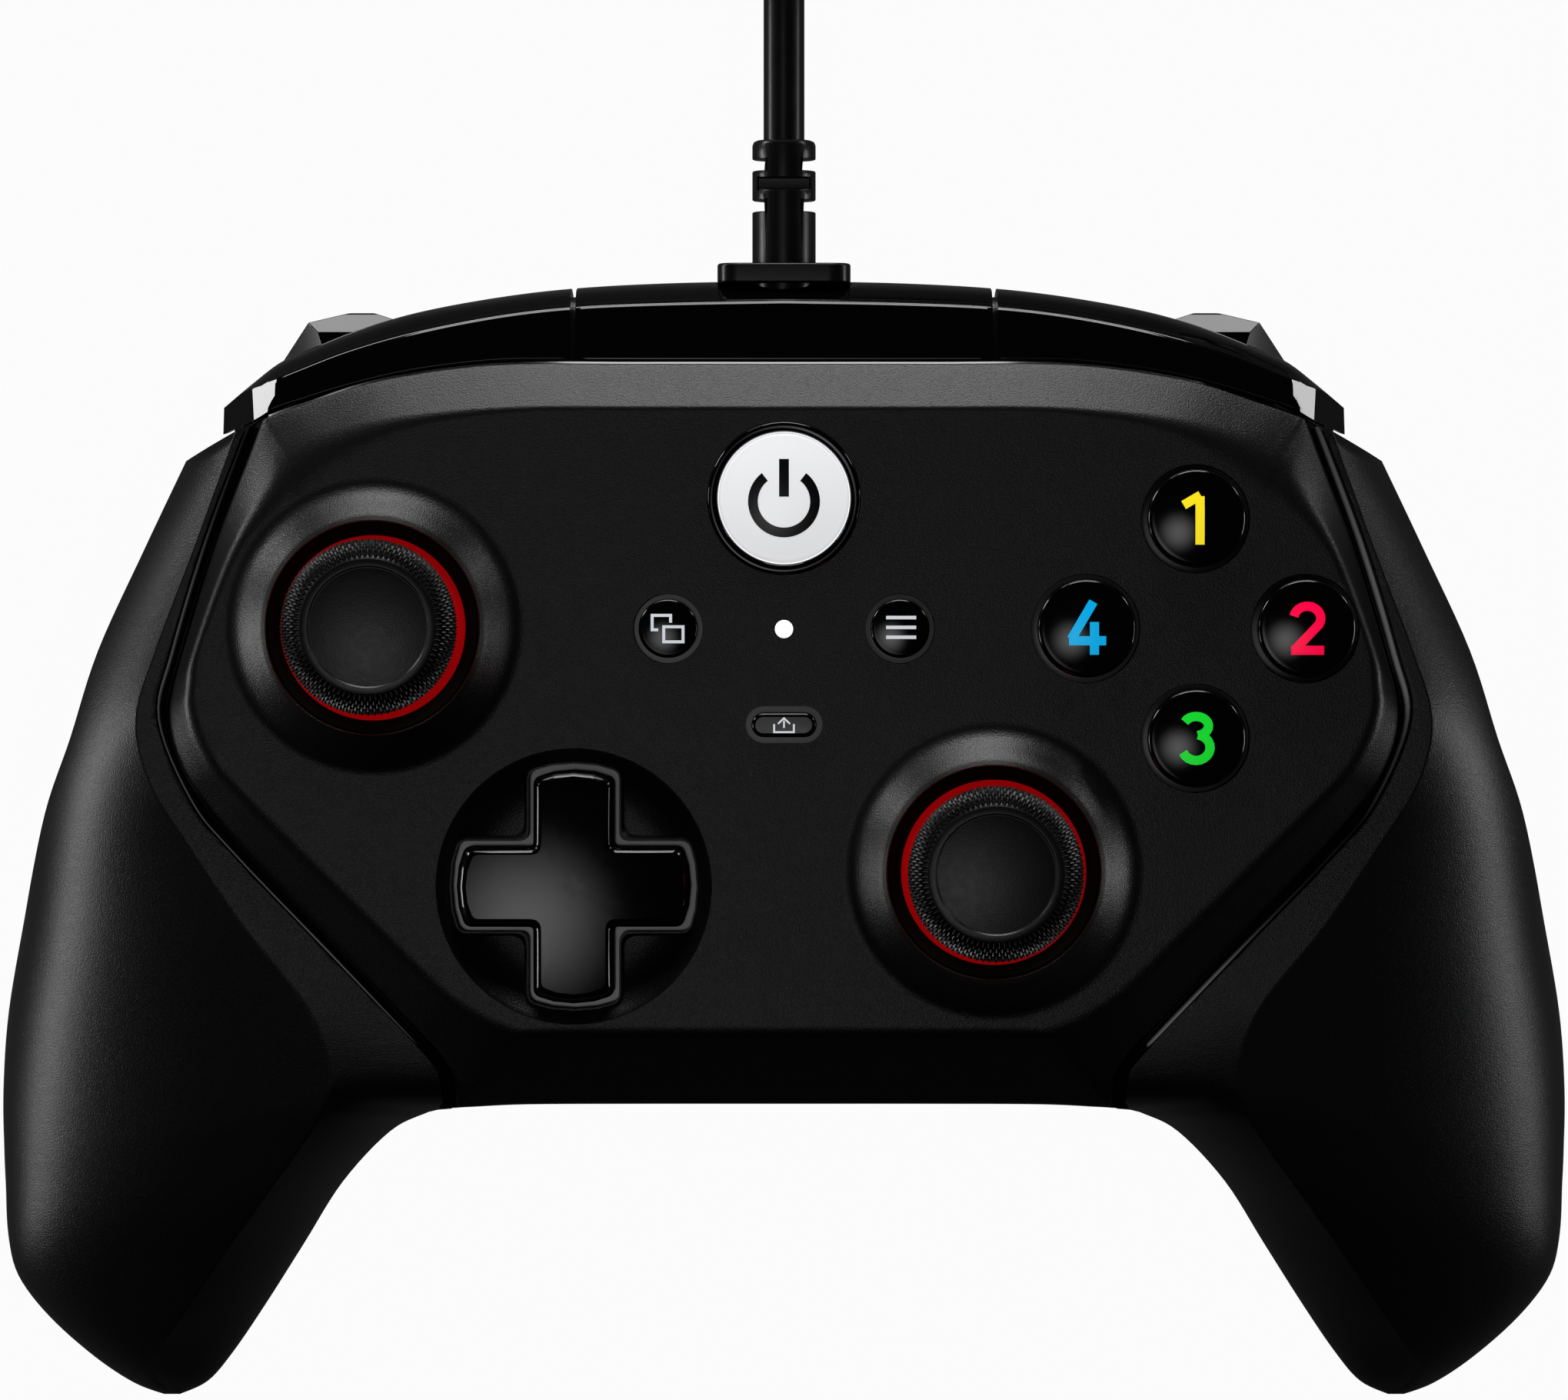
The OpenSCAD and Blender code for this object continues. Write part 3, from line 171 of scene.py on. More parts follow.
class Bench:
    """Hand tools of the modeller. Each leaves one mesh object that sits at the origin."""

    @staticmethod
    def clear() -> None:
        """Leave edit mode and deselect every object."""
        if bpy.context.object is not None and bpy.context.object.mode != "OBJECT":
            bpy.ops.object.mode_set(mode="OBJECT")
        bpy.ops.object.select_all(action="DESELECT")

    @classmethod
    def pick(cls, obj: bpy.types.Object) -> None:
        """Make obj the only selected object and the active one."""
        cls.clear()
        obj.select_set(True)
        bpy.context.view_layer.objects.active = obj

    @classmethod
    def edit(cls, obj: bpy.types.Object) -> bmesh.types.BMesh:
        """Open obj in edit mode with everything selected and return its edit mesh."""
        cls.pick(obj)
        bpy.ops.object.mode_set(mode="EDIT")
        bpy.ops.mesh.select_mode(type="VERT")
        bpy.ops.mesh.select_all(action="SELECT")
        return bmesh.from_edit_mesh(obj.data)

    @staticmethod
    def close(merge: float = 0.0005) -> None:
        """Merge doubles within merge millimetres, turn the faces outwards and leave edit mode."""
        bpy.ops.mesh.select_all(action="SELECT")
        bpy.ops.mesh.remove_doubles(threshold=merge * MM)
        bpy.ops.mesh.normals_make_consistent(inside=False)
        bpy.ops.object.mode_set(mode="OBJECT")

    @staticmethod
    def named(name: str) -> bpy.types.Object:
        """Name the active object and its mesh."""
        obj = bpy.context.object
        obj.name = obj.data.name = name
        return obj

    @classmethod
    def loft(cls, name: str, rings: Sequence[Ring], caps: bool = True,
             closed: bool = False) -> bpy.types.Object:
        """Skin through rings, shaped from a grid.

        Args:
            name: Name of the new object.
            rings: Rings of points in millimetres, with the same count each.
            caps: Whether the open ends are filled.
            closed: Whether the last ring runs on into the first.

        Returns:
            The new object.
        """
        rows = list(rings) + ([rings[0]] if closed else [])
        across, along = len(rows[0]), len(rows) - 1
        cls.clear()
        bpy.ops.mesh.primitive_grid_add(x_subdivisions=across, y_subdivisions=along, size=2)
        obj = cls.named(name)
        for v in obj.data.vertices:
            i, j = round((v.co.x + 1) / 2 * across), round((v.co.y + 1) / 2 * along)
            v.co = Vector(rows[j][i % across]) * MM
        cls.edit(obj)
        bpy.ops.mesh.remove_doubles(threshold=0.0002 * MM)
        if caps:
            bpy.ops.mesh.fill_holes(sides=0)
        cls.close(0.0002)
        return obj

    @classmethod
    def turned(cls, name: str, profile: Sequence[Point], centre: Point, steps: int = 96) -> bpy.types.Object:
        """Round piece spun about an upright axis.

        Args:
            name: Name of the new object.
            profile: Closed outline as radius and height.
            centre: Place of the axis in plan.
            steps: Number of segments around.

        Returns:
            The new object.
        """
        cls.clear()
        bpy.ops.mesh.primitive_circle_add(vertices=len(profile), fill_type="NOTHING")
        obj = cls.named(name)
        for v, (r, z) in zip(obj.data.vertices, profile):
            v.co = Vector((centre[0] + r, centre[1], z)) * MM
        cls.edit(obj)
        bpy.ops.mesh.spin(steps=steps, angle=FULL_TURN, center=Vector((centre[0], centre[1], 0)) * MM,
                          axis=(0, 0, 1))
        cls.close(0.001)
        return obj

    @classmethod
    def rod(cls, name: str, axis: Point, profile: Sequence[Point], steps: int = 48) -> bpy.types.Object:
        """Round piece along Y: axis gives X and Z, and profile gives radii and places along Y."""
        x, z = axis
        rings = [[(x + r * math.cos(a), y, z + r * math.sin(a)) for a in turns(steps)] for r, y in profile]
        return cls.loft(name, rings)

    @classmethod
    def axle(cls, name: str, axis: Point, r: float, ends: Point, steps: int = 32) -> bpy.types.Object:
        """Round rod along X between two ends: axis gives Y and Z."""
        y, z = axis
        return cls.loft(name, [[(x, y + r * math.cos(a), z + r * math.sin(a)) for a in turns(steps)]
                               for x in ends])

    @classmethod
    def prism(cls, name: str, outline: Sequence[Point], low: float, high: float) -> bpy.types.Object:
        """Upright prism over an outline in plan."""
        return cls.loft(name, [[(p[0], p[1], z) for p in outline] for z in (low, high)])

    @classmethod
    def box(cls, name: str, low: Point, high: Point) -> bpy.types.Object:
        """Block between two corners."""
        plan = [(low[0], low[1]), (high[0], low[1]), (high[0], high[1]), (low[0], high[1])]
        return cls.prism(name, plan, low[2], high[2])

    @classmethod
    def modify(cls, obj: bpy.types.Object, kind: str, **settings: Any) -> bpy.types.Object:
        """Add one modifier with its settings to obj and apply it."""
        cls.pick(obj)
        modifier = obj.modifiers.new(kind.lower(), kind)
        for key, value in settings.items():
            setattr(modifier, key, value)
        bpy.ops.object.modifier_apply(modifier=modifier.name)
        return obj

    @classmethod
    def carve(cls, obj: bpy.types.Object, tool: bpy.types.Object, how: Cut = Cut.AWAY,
              folds: bool = False) -> bpy.types.Object:
        """Cut obj with tool or join them, and remove the tool; folds is for skins that cross themselves."""
        cls.modify(obj, "BOOLEAN", object=tool, operation=how.value, solver="EXACT", use_self=folds,
                   use_hole_tolerant=folds)
        bpy.data.objects.remove(tool)
        return obj

    @classmethod
    def halve(cls, obj: bpy.types.Object, at: Point, normal: Point) -> bpy.types.Object:
        """Cut off what lies on the side of a plane that its normal points to, and fill the cut."""
        cls.edit(obj)
        bpy.ops.mesh.bisect(plane_co=Vector(at) * MM, plane_no=normal, use_fill=True, clear_outer=True)
        cls.close(0.0002)
        return obj

    @classmethod
    def soften(cls, obj: bpy.types.Object, width: float, segments: int = 3,
               angle: float = 35) -> bpy.types.Object:
        """Round the edges that are sharper than angle degrees."""
        return cls.modify(obj, "BEVEL", width=width * MM, segments=segments, limit_method="ANGLE",
                          angle_limit=math.radians(angle), use_clamp_overlap=True)

    @classmethod
    def copied(cls, obj: bpy.types.Object, name: str) -> bpy.types.Object:
        """Copy of obj with its own mesh."""
        cls.pick(obj)
        bpy.ops.object.duplicate()
        return cls.named(name)

    @classmethod
    def mirrored(cls, obj: bpy.types.Object, name: str) -> bpy.types.Object:
        """Copy of obj on the other side of X = 0."""
        twin = cls.copied(obj, name)
        cls.edit(twin)
        bpy.ops.transform.resize(value=(-1, 1, 1), center_override=(0, 0, 0))
        bpy.ops.mesh.normals_make_consistent(inside=False)
        bpy.ops.object.mode_set(mode="OBJECT")
        bpy.ops.mesh.customdata_custom_splitnormals_clear()
        return cls.modify(twin, "WEIGHTED_NORMAL", keep_sharp=True)

    @classmethod
    def joined(cls, name: str, parts: Sequence[bpy.types.Object]) -> bpy.types.Object:
        """One object from several."""
        cls.clear()
        for part in parts:
            part.select_set(True)
        bpy.context.view_layer.objects.active = parts[0]
        bpy.ops.object.join()
        return cls.named(name)

    @classmethod
    def moved(cls, obj: bpy.types.Object, place: Callable[[Vector], Vector]) -> bpy.types.Object:
        """Move every vertex of obj by a rule on places in millimetres."""
        for v in obj.data.vertices:
            v.co = place(v.co / MM) * MM
        return obj

    @classmethod
    def shade(cls, obj: bpy.types.Object, angle: float = 30, weighted: bool = True) -> bpy.types.Object:
        """Shade smooth, apart from edges sharper than angle degrees."""
        cls.pick(obj)
        bpy.ops.object.shade_smooth_by_angle(angle=math.radians(angle))
        if weighted:
            cls.modify(obj, "WEIGHTED_NORMAL", keep_sharp=True)
        return obj


# Finishes

class Value:
    """Number on a socket. Python operators on it add Math nodes."""

    def __init__(self, tree: bpy.types.NodeTree, socket: bpy.types.NodeSocket) -> None:
        """Wrap one output socket of a tree."""
        self.tree = tree
        self.socket = socket

    def _math(self, operation: str, *terms: "Value | float") -> "Value":
        """Add a Math node that works on the terms."""
        node = self.tree.nodes.new("ShaderNodeMath")
        node.operation = operation
        for slot, term in zip(node.inputs, terms):
            if isinstance(term, Value):
                self.tree.links.new(term.socket, slot)
            else:
                slot.default_value = term
        return Value(self.tree, node.outputs[0])

    def __add__(self, other: "Value | float") -> "Value":
        """Sum."""
        return self._math("ADD", self, other)

    def __mul__(self, other: "Value | float") -> "Value":
        """Product."""
        return self._math("MULTIPLY", self, other)


class Recipe:
    """Node tree of one material."""

    def __init__(self, name: str) -> None:
        """Start an empty tree with an output node."""
        self.material = bpy.data.materials.new(name)
        self.material.use_nodes = True
        self.tree = self.material.node_tree
        self.tree.nodes.clear()
        self.out = self.tree.nodes.new("ShaderNodeOutputMaterial")

    def node(self, kind: str, settings: dict[str, Any] | None = None, sockets: dict[str, Any] | None = None,
             output: str | int = 0) -> Value:
        """Add one node.

        Args:
            kind: Type of the node.
            settings: Its properties, set first.
            sockets: Values or links of its inputs, by name.
            output: Name or number of the output that is returned.

        Returns:
            The output, ready for expressions.
        """
        node = self.tree.nodes.new(kind)
        for key, value in (settings or {}).items():
            setattr(node, key, value)
        for key, value in (sockets or {}).items():
            if isinstance(value, Value):
                self.tree.links.new(value.socket, node.inputs[key])
            else:
                node.inputs[key].default_value = value
        return Value(self.tree, node.outputs[output])

    def place(self) -> Value:
        """Object coordinates."""
        return self.node("ShaderNodeTexCoord", output="Object")

    def noise(self, size: float, detail: float = 2.0, rough: float = 0.5) -> Value:
        """Noise with features of about size millimetres, from 0 to 1."""
        return self.node("ShaderNodeTexNoise", sockets={
            "Vector": self.place(), "Scale": 1 / (size * MM), "Detail": detail, "Roughness": rough}, output=0)

    def tint(self, share: Value, low: Point, high: Point) -> Value:
        """Colour between two by a share."""
        node = self.tree.nodes.new("ShaderNodeMix")
        node.data_type = "RGBA"
        self.tree.links.new(share.socket, node.inputs["Factor"])
        colours = [s for s in node.inputs if s.type == "RGBA"]
        for slot, colour in zip(colours, (low, high)):
            slot.default_value = (*colour, 1)
        return Value(self.tree, next(s for s in node.outputs if s.type == "RGBA"))

    def bump(self, height: Value, depth: float, strength: float = 1.0) -> Value:
        """Normal from a height of depth millimetres."""
        return self.node("ShaderNodeBump",
                         sockets={"Height": height, "Distance": depth * MM, "Strength": strength})

    def finish(self, sockets: dict[str, Any]) -> bpy.types.Material:
        """Close the tree with a Principled shader."""
        shader = self.node("ShaderNodeBsdfPrincipled", sockets=sockets)
        self.tree.links.new(shader.socket, self.out.inputs["Surface"])
        return self.material


@dataclass(frozen=True)
class Finish:
    """A moulded, rubber, metal or printed surface; glow gives the status lamp its real light and paints a
    glow on the other finishes that have it.
    """

    name: str
    colour: tuple[float, float, float]
    roughness: float
    mottle: float = 0.12
    mottle_size: float = 7.0
    uneven: float = 0.05
    uneven_size: float = 3.0
    grain_size: float = 0.0
    grain_depth: float = 0.0
    metal: float = 0.0
    coat: float = 0.0
    # emission in the finish's own colour: a real lamp on the status light, painted glow on every other finish
    glow: float = 0.0
    specular: float = 0.5

    def material(self) -> bpy.types.Material:
        """Material of this finish, made once."""
        known = bpy.data.materials.get(self.name)
        if known is not None:
            return known
        recipe = Recipe(self.name)
        dark = tuple(c * (1 - self.mottle) for c in self.colour)
        light = tuple(min(c * (1 + self.mottle), 1) for c in self.colour)
        sockets: dict[str, Any] = {
            "Base Color": recipe.tint(recipe.noise(self.mottle_size), dark, light),
            "Roughness": recipe.noise(self.uneven_size, 3) * (2 * self.uneven)
            + (self.roughness - self.uneven),
            "Metallic": self.metal,
            "Coat Weight": self.coat,
            "Coat Roughness": 0.05,
            "Specular IOR Level": self.specular,
        }
        if self.grain_depth:
            grain = recipe.noise(self.grain_size, 1.0, 0.6)
            sockets["Normal"] = recipe.bump(grain, self.grain_depth)
        # painted glow, except on the status lamp, which is a real lamp
        if self.glow:
            sockets["Emission Color"] = (*self.colour, 1)
            sockets["Emission Strength"] = self.glow
        return recipe.finish(sockets)


SHELL = Finish("grained_black", (0.004, 0.004, 0.0042), 0.34, 0.08, 9, 0.05, 0.3, 0.15, 0.03)
GLOSS = Finish("polished_black", (0.0015, 0.0015, 0.0017), 0.06, 0.2, 11, 0.02, 8)
SATIN = Finish("satin_black", (0.003, 0.003, 0.0032), 0.3, 0.15, 8, 0.05, 2.5, 0.3, 0.002)
KEY = Finish("key_black", (0.0012, 0.0012, 0.0013), 0.11, 0.2, 5, 0.02, 4)
PAD = Finish("pad_black", (0.0012, 0.0012, 0.0013), 0.1, 0.15, 6, 0.015, 3)
CAP = Finish("thumb_rubber", (0.005, 0.005, 0.0052), 0.3, 0.12, 3, 0.05, 0.8, 0.2, 0.008)
RING = Finish("slip_ring", (0.003, 0.003, 0.0032), 0.6, 0.1, 4, 0.05, 1, 0.26, 0.006, specular=0.04)
# the red skirt has painted glow (glow 0.24) that brightens its red beyond the lamps' light
RED = Finish("stick_red", (0.86, 0.003, 0.006), 0.34, 0.06, 4, 0.05, 2, glow=0.24)
# the guide button's white has painted glow (glow 0.72) on top of its own colour
WHITE = Finish("guide_white", (0.86, 0.865, 0.88), 0.22, 0.03, 4, 0.04, 2, glow=0.72)
LAMP_WHITE = Finish("status_lamp", (1.0, 1.0, 1.0), 0.3, 0.0, 2, 0.02, 1, glow=1.0)
INK = Finish("symbol_black", (0.006, 0.006, 0.006), 0.25, 0.1, 2, 0.04, 1)
# the prints below are real printed colours with painted glow on top, which keeps them bright
PRINT_GREY = Finish("symbol_grey", (0.62, 0.64, 0.68), 0.35, 0.04, 2, 0.05, 1, glow=0.8)
PRINT_YELLOW = Finish("print_yellow", (1.0, 0.8, 0.012), 0.3, 0.03, 2, 0.05, 1, glow=0.75)
PRINT_RED = Finish("print_red", (1.0, 0.0, 0.06), 0.3, 0.03, 2, 0.05, 1, glow=0.75)
PRINT_GREEN = Finish("print_green", (0.006, 0.66, 0.026), 0.3, 0.03, 2, 0.05, 1, glow=0.75)
PRINT_BLUE = Finish("print_blue", (0.0, 0.4, 0.78), 0.3, 0.03, 2, 0.05, 1, glow=0.75)
SHEATH = Finish("cable_sheath", (0.003, 0.003, 0.0032), 0.3, 0.15, 5, 0.05, 1.5, 0.4, 0.002)
INNER = Finish("moulded_inner", (0.02, 0.02, 0.021), 0.5, 0.12, 4, 0.06, 1.5, 0.3, 0.008)
SILICONE = Finish("silicone_grey", (0.17, 0.17, 0.175), 0.6, 0.08, 3, 0.06, 1)
SOLDER_MASK = Finish("board_green", (0.012, 0.11, 0.04), 0.35, 0.2, 2, 0.08, 0.8)
STEEL = Finish("plated_steel", (0.6, 0.61, 0.63), 0.28, 0.06, 3, 0.1, 0.6, metal=1.0)


class Slot(Enum):
    """The record's material slots."""

    SHELL = "shell"
    GLOSS = "gloss_black"
    INNER = "inner_black"
    RED = "red"
    SOFT = "soft_black"
    WHITE = "white"
    CABLE = "cable"
    STEEL = "steel"


def dress(obj: bpy.types.Object, finish: Finish, slot: Slot, body: str, *nodes: str) -> bpy.types.Object:
    """Give a piece its finish, its body and the nodes that it stands for.

    Args:
        obj: The finished piece.
        finish: What covers it.
        slot: The record's material slot; not used.
        body: The CAD body that it rides on.
        nodes: The CAD nodes that it replaces.

    Returns:
        The same piece.
    """
    obj.data.materials.clear()
    obj.data.materials.append(finish.material())
    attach(obj, body)
    if nodes:
        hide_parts(*nodes)
    LOG.info("%s rides on %s", obj.name, body)
    return obj


# Housing

@dataclass
class Face:
    """Plan and heights that the front pieces share."""

    face_z: float = 44.0
    plate_low_z: float = 41.8
    part_z: float = 20.0
    ledge_z: float = 38.0
    bottom_y: float = -26.3
    left_stick: tuple[float, float] = (-39.6, 20.75)
    right_stick: tuple[float, float] = (20.2, -2.8)
    pad: tuple[float, float] = (-20.3, -4.2)
    keys: tuple[float, float] = (39.75, 20.7)
    key_reach: float = 10.6
    guide: tuple[float, float] = (0.0, 33.3)
    view: tuple[float, float] = (-11.2, 20.7)
    menu: tuple[float, float] = (11.2, 20.7)
    light: tuple[float, float] = (0.0, 20.65)
    share: tuple[float, float] = (0.0, 11.4)
    dome_r: float = 14.6
    dish_r: float = 13.35
    seam: tuple[tuple[float, float], ...] = (
        (-52.4, 39.9), (-56.3, 29.5), (-59.6, 18.6), (-60.9, 12.0), (-57.7, 4.0), (-53.6, -1.1),
        (-44.1, -11.0), (-34.8, -20.7), (-33.4, -23.2), (-33.2, -26.3))
    top: tuple[tuple[float, float], ...] = (
        (0.0, 46.5), (-14.0, 46.5), (-28.0, 46.4), (-39.0, 44.9), (-50.5, 41.1))

    def key_at(self, turn: int) -> tuple[float, float]:
        """Place of a face button, counted clockwise from the top one."""
        angle = turn * math.pi / 2
        return (self.keys[0] + self.key_reach * math.sin(angle),
                self.keys[1] + self.key_reach * math.cos(angle))

    def zone(self, inset: float, steps: int = 8) -> Ring:
        """Outline inside the grooves' outer edges, narrowed along the grooves."""
        seam = offset_line(spline(self.seam, steps), inset)
        return both_halves(spline(self.top, steps) + seam + [(0.0, self.bottom_y)])


FACE = Face()


@dataclass
class FrontShell:
    """Front shell with its chamfered rim, stick domes and key holes."""

    # Rows from the middle of the top edge to the middle of the bottom edge: rim in plan, edge of the flat
    # in plan, rounding at the flat's edge, height of the rim, lowest height of the rim's wall, its flare.
    rows: tuple[tuple[float, ...], ...] = (
        (0.0, 46.5, 0.0, 42.0, 0.3, 41.0, 38.0, 0.0), (-14.0, 46.5, -13.5, 42.0, 0.3, 41.0, 38.0, 0.0),
        (-28.0, 46.4, -26.0, 41.9, 0.4, 41.0, 38.0, 0.0), (-39.0, 44.9, -36.5, 40.7, 0.9, 41.0, 38.0, 0.0),
        (-46.0, 42.75, -43.0, 38.6, 1.8, 41.0, 38.0, 0.0), (-49.6, 41.5, -46.2, 36.7, 2.2, 41.0, 38.0, 0.0),
        (-50.4, 41.15, -47.1, 36.0, 2.3, 41.0, 38.0, 0.0), (-50.8, 40.4, -47.6, 35.5, 2.3, 41.0, 38.0, 0.0),
        (-51.7, 38.0, -49.3, 33.8, 1.5, 41.0, 38.0, 0.0), (-55.05, 29.1, -53.2, 28.4, 0.8, 41.0, 38.0, 0.0),
        (-58.3, 18.3, -56.9, 18.9, 0.9, 41.0, 38.0, 0.0), (-59.3, 14.6, -57.5, 15.2, 0.9, 41.0, 38.0, 0.0),
        (-59.6, 12.1, -57.5, 13.2, 0.9, 41.0, 38.0, 0.0), (-59.1, 9.2, -56.7, 10.4, 0.9, 41.0, 38.0, 0.0),
        (-57.9, 6.4, -55.2, 7.5, 0.9, 41.0, 38.0, 0.0), (-56.4, 4.3, -53.2, 5.2, 0.9, 41.0, 38.0, 0.0),
        (-52.7, -0.2, -49.6, 1.6, 0.9, 41.0, 38.0, 0.0), (-43.2, -10.1, -40.4, -7.4, 0.9, 41.0, 38.0, 0.0),
        (-36.2, -17.4, -34.6, -13.1, 1.0, 40.9, 37.5, 0.0),
        (-33.7, -20.1, -32.2, -15.2, 1.0, 40.5, 37.0, 0.0),
        (-32.6, -21.7, -30.4, -16.4, 1.0, 40.0, 36.0, 0.0),
        (-32.1, -23.2, -28.6, -17.4, 1.0, 39.3, 34.0, 0.0),
        (-31.95, -24.8, -26.8, -18.1, 1.0, 38.5, 28.0, 0.1),
        (-31.75, -25.75, -25.6, -18.4, 0.9, 38.0, 22.0, 0.3),
        (-30.6, -25.8, -24.6, -18.4, 0.9, 37.9, 20.0, 0.5),
        (-25.0, -25.55, -21.5, -18.4, 0.9, 37.8, 20.0, 0.7),
        (-14.0, -25.5, -12.0, -18.4, 0.9, 37.8, 20.0, 0.75), (0.0, -25.5, 0.0, -18.4, 0.9, 37.8, 20.0, 0.75))
    steps: int = 6
    flat_room: float = 0.5
    rim_round: float = 0.42
    wall: float = 2.3
    lip_round: float = 0.05
    key_r: float = 4.75
    small_r: float = 2.85
    bezel_r: float = 7.4
    light_r: float = 0.88
    well: float = 0.5
    cut_z: tuple[float, float] = (30.0, 50.0)
    share_size: tuple[float, float] = (6.3, 2.4)
    jack_z: float = 34.2
    jack_r: float = 3.1
    jack_nose_y: float = -25.3
    # Radius and rise above the face: the dome's slope, then the mouth that the slip ring sits in
    dome_slope: tuple[tuple[float, float], ...] = (
        (FACE.dome_r, 0.0), (14.2, 0.03), (13.7, 0.16), (13.1, 0.48), (12.4, 1.02),
        (11.7, 1.63), (11.1, 2.15),
        (10.8, 2.44), (10.54, 2.78))
    dome_mouth: tuple[tuple[float, float], ...] = (
        (10.38, 3.0), (10.25, 2.92), (10.2, 2.75), (10.2, 1.6), (9.35, 1.6))
    bead_rows: int = 7
    bead_section: tuple[tuple[float, float], ...] = (
        (-0.13, 0.04), (0.05, -0.115), (0.05, -0.3), (-0.3, -0.3))

    def section(self, row: Point) -> Ring:
        """Points of one section, from the flat outwards and down, and back inside."""
        rim, flat = row[:2], row[2:4]
        ease, rim_z, low_z, flare = row[4:8]
        reach = math.dist(rim, flat)
        top = FACE.face_z
        slope = math.hypot(reach, top - rim_z)

        def at(u: float, z: float) -> tuple[float, float, float]:
            """Point at u from the flat's edge towards the rim."""
            return (*mixed(flat, rim, u / reach), z)

        ease_end = (ease * reach / slope, top - ease * (top - rim_z) / slope)
        rim_start = (reach * (1 - self.rim_round / slope), rim_z + (top - rim_z) * self.rim_round / slope)
        line = [(-ease - self.flat_room, top)]
        line += bent((-ease, top), (0.0, top), ease_end, 6)
        line += [mixed(ease_end, rim_start, k / 4) for k in (1, 2, 3)]
        line += bent(rim_start, (reach, rim_z), (reach, rim_z - self.rim_round), 4)
        line += [(reach + flare, low_z), (reach - self.wall, low_z), (-0.4, FACE.plate_low_z)]
        return [at(u, z) for u, z in line]

    def key_tool(self, name: str, centre: Point, r: float) -> bpy.types.Object:
        """Tool that cuts a round hole with a rounded lip."""
        top, lip = FACE.face_z, self.lip_round
        edge = [(r + lip - lip * math.cos(a), top - lip + lip * math.sin(a))
                for a in (k * math.pi / 10 for k in range(6))]
        low, high = self.cut_z
        profile = [(0, low), (r, low)] + edge + [(r + lip, high), (0, high)]
        return Bench.turned(name, profile, centre, 72)

    def hole(self, centre: Point, r: float, steps: int) -> bpy.types.Object:
        """Tool that cuts a plain round hole."""
        low, high = self.cut_z
        return Bench.turned("hole", [(0, low), (r, low), (r, high), (0, high)], centre, steps)

    def build(self) -> bpy.types.Object:
        """Model the shell and return it."""
        half = [self.section(row) for row in spline(self.rows, self.steps)]
        other = [[(-x, y, z) for x, y, z in s] for s in reversed(half[1:-1])]
        sections = half + other
        rings = [[s[k] for s in sections] for k in range(len(sections[0]))]
        shell = Bench.loft("shell_front", rings)
        for turn in range(4):
            Bench.carve(shell, self.key_tool("hole", FACE.key_at(turn), self.key_r + self.well))
        for centre in (FACE.view, FACE.menu):
            Bench.carve(shell, self.key_tool("hole", centre, self.small_r + self.well))
        Bench.carve(shell, self.key_tool("hole", FACE.guide, self.bezel_r))
        Bench.carve(shell, self.hole(FACE.light, self.light_r, 32))
        for centre, r in ((FACE.left_stick, FACE.dome_r), (FACE.right_stick, FACE.dome_r),
                          (FACE.pad, FACE.dish_r)):
            Bench.carve(shell, self.hole(centre, r, 128))
        length, width = (size + 2 * self.well + 0.2 for size in self.share_size)
        Bench.carve(shell, Bench.prism("hole", stadium(FACE.share, length, width), *self.cut_z))
        Bench.carve(shell, self.jack_rod("hole", self.jack_r, -30, -22))
        return shell

    def jack_rod(self, name: str, r: float, y0: float, y1: float) -> bpy.types.Object:
        """Round rod on the headset socket's axis."""
        return Bench.rod(name, (0, self.jack_z), [(r, y0), (r, y1)])

    def jack(self) -> bpy.types.Object:
        """Model the headset socket, set back in its hole."""
        socket = Bench.box("headset_socket", (-3.4, -21.5, 31.45), (3.4, -12.3, 37.0))
        Bench.carve(socket, self.jack_rod("nose", 2.8, self.jack_nose_y, -21), Cut.ADD)
        Bench.carve(socket, self.jack_rod("hole", 1.8, -30, -13.3))
        return Bench.shade(Bench.soften(socket, 0.2, 2, 40), 35)

    def dome(self, side: Side) -> bpy.types.Object:
        """Model the raised dome around a stick."""
        top = FACE.face_z
        crown = spline([(r, top + rise) for r, rise in self.dome_slope], 4)
        crown += [(r, top + rise) for r, rise in self.dome_mouth]
        crown += [(11.2, FACE.plate_low_z), (FACE.dome_r, FACE.plate_low_z)]
        centre = FACE.left_stick if side is Side.LEFT else FACE.right_stick
        return Bench.turned(f"{side.word}_dome", crown, centre, 128)

    def bead(self) -> bpy.types.Object:
        """Model the polished line along the upper rim."""
        rings = []
        for row in spline(self.rows[:self.bead_rows], self.steps):
            rim, flat, rim_z = row[:2], row[2:4], row[5]
            reach = math.dist(rim, flat)
            ux, uy = (rim[0] - flat[0]) / reach, (rim[1] - flat[1]) / reach
            rings.append([(rim[0] + ux * u, rim[1] + uy * u, rim_z + h) for u, h in self.bead_section])
        other = [[(-x, y, z) for x, y, z in ring] for ring in rings[1:]]
        return Bench.shade(Bench.loft("rim_line", list(reversed(other)) + rings), 20)

    def make(self) -> None:
        """Build and dress the shell, its domes and its rim line."""
        dress(self.bead(), GLOSS, Slot.GLOSS, HOUSING)
        parts = [self.build(), self.dome(Side.LEFT), self.dome(Side.RIGHT)]
        shell = Bench.joined("shell_front", parts)
        Bench.shade(shell, 40)
        dress(shell, SHELL, Slot.SHELL, HOUSING, "front_shell")
        dress(self.jack(), SATIN, Slot.INNER, HOUSING, "headset_jack")


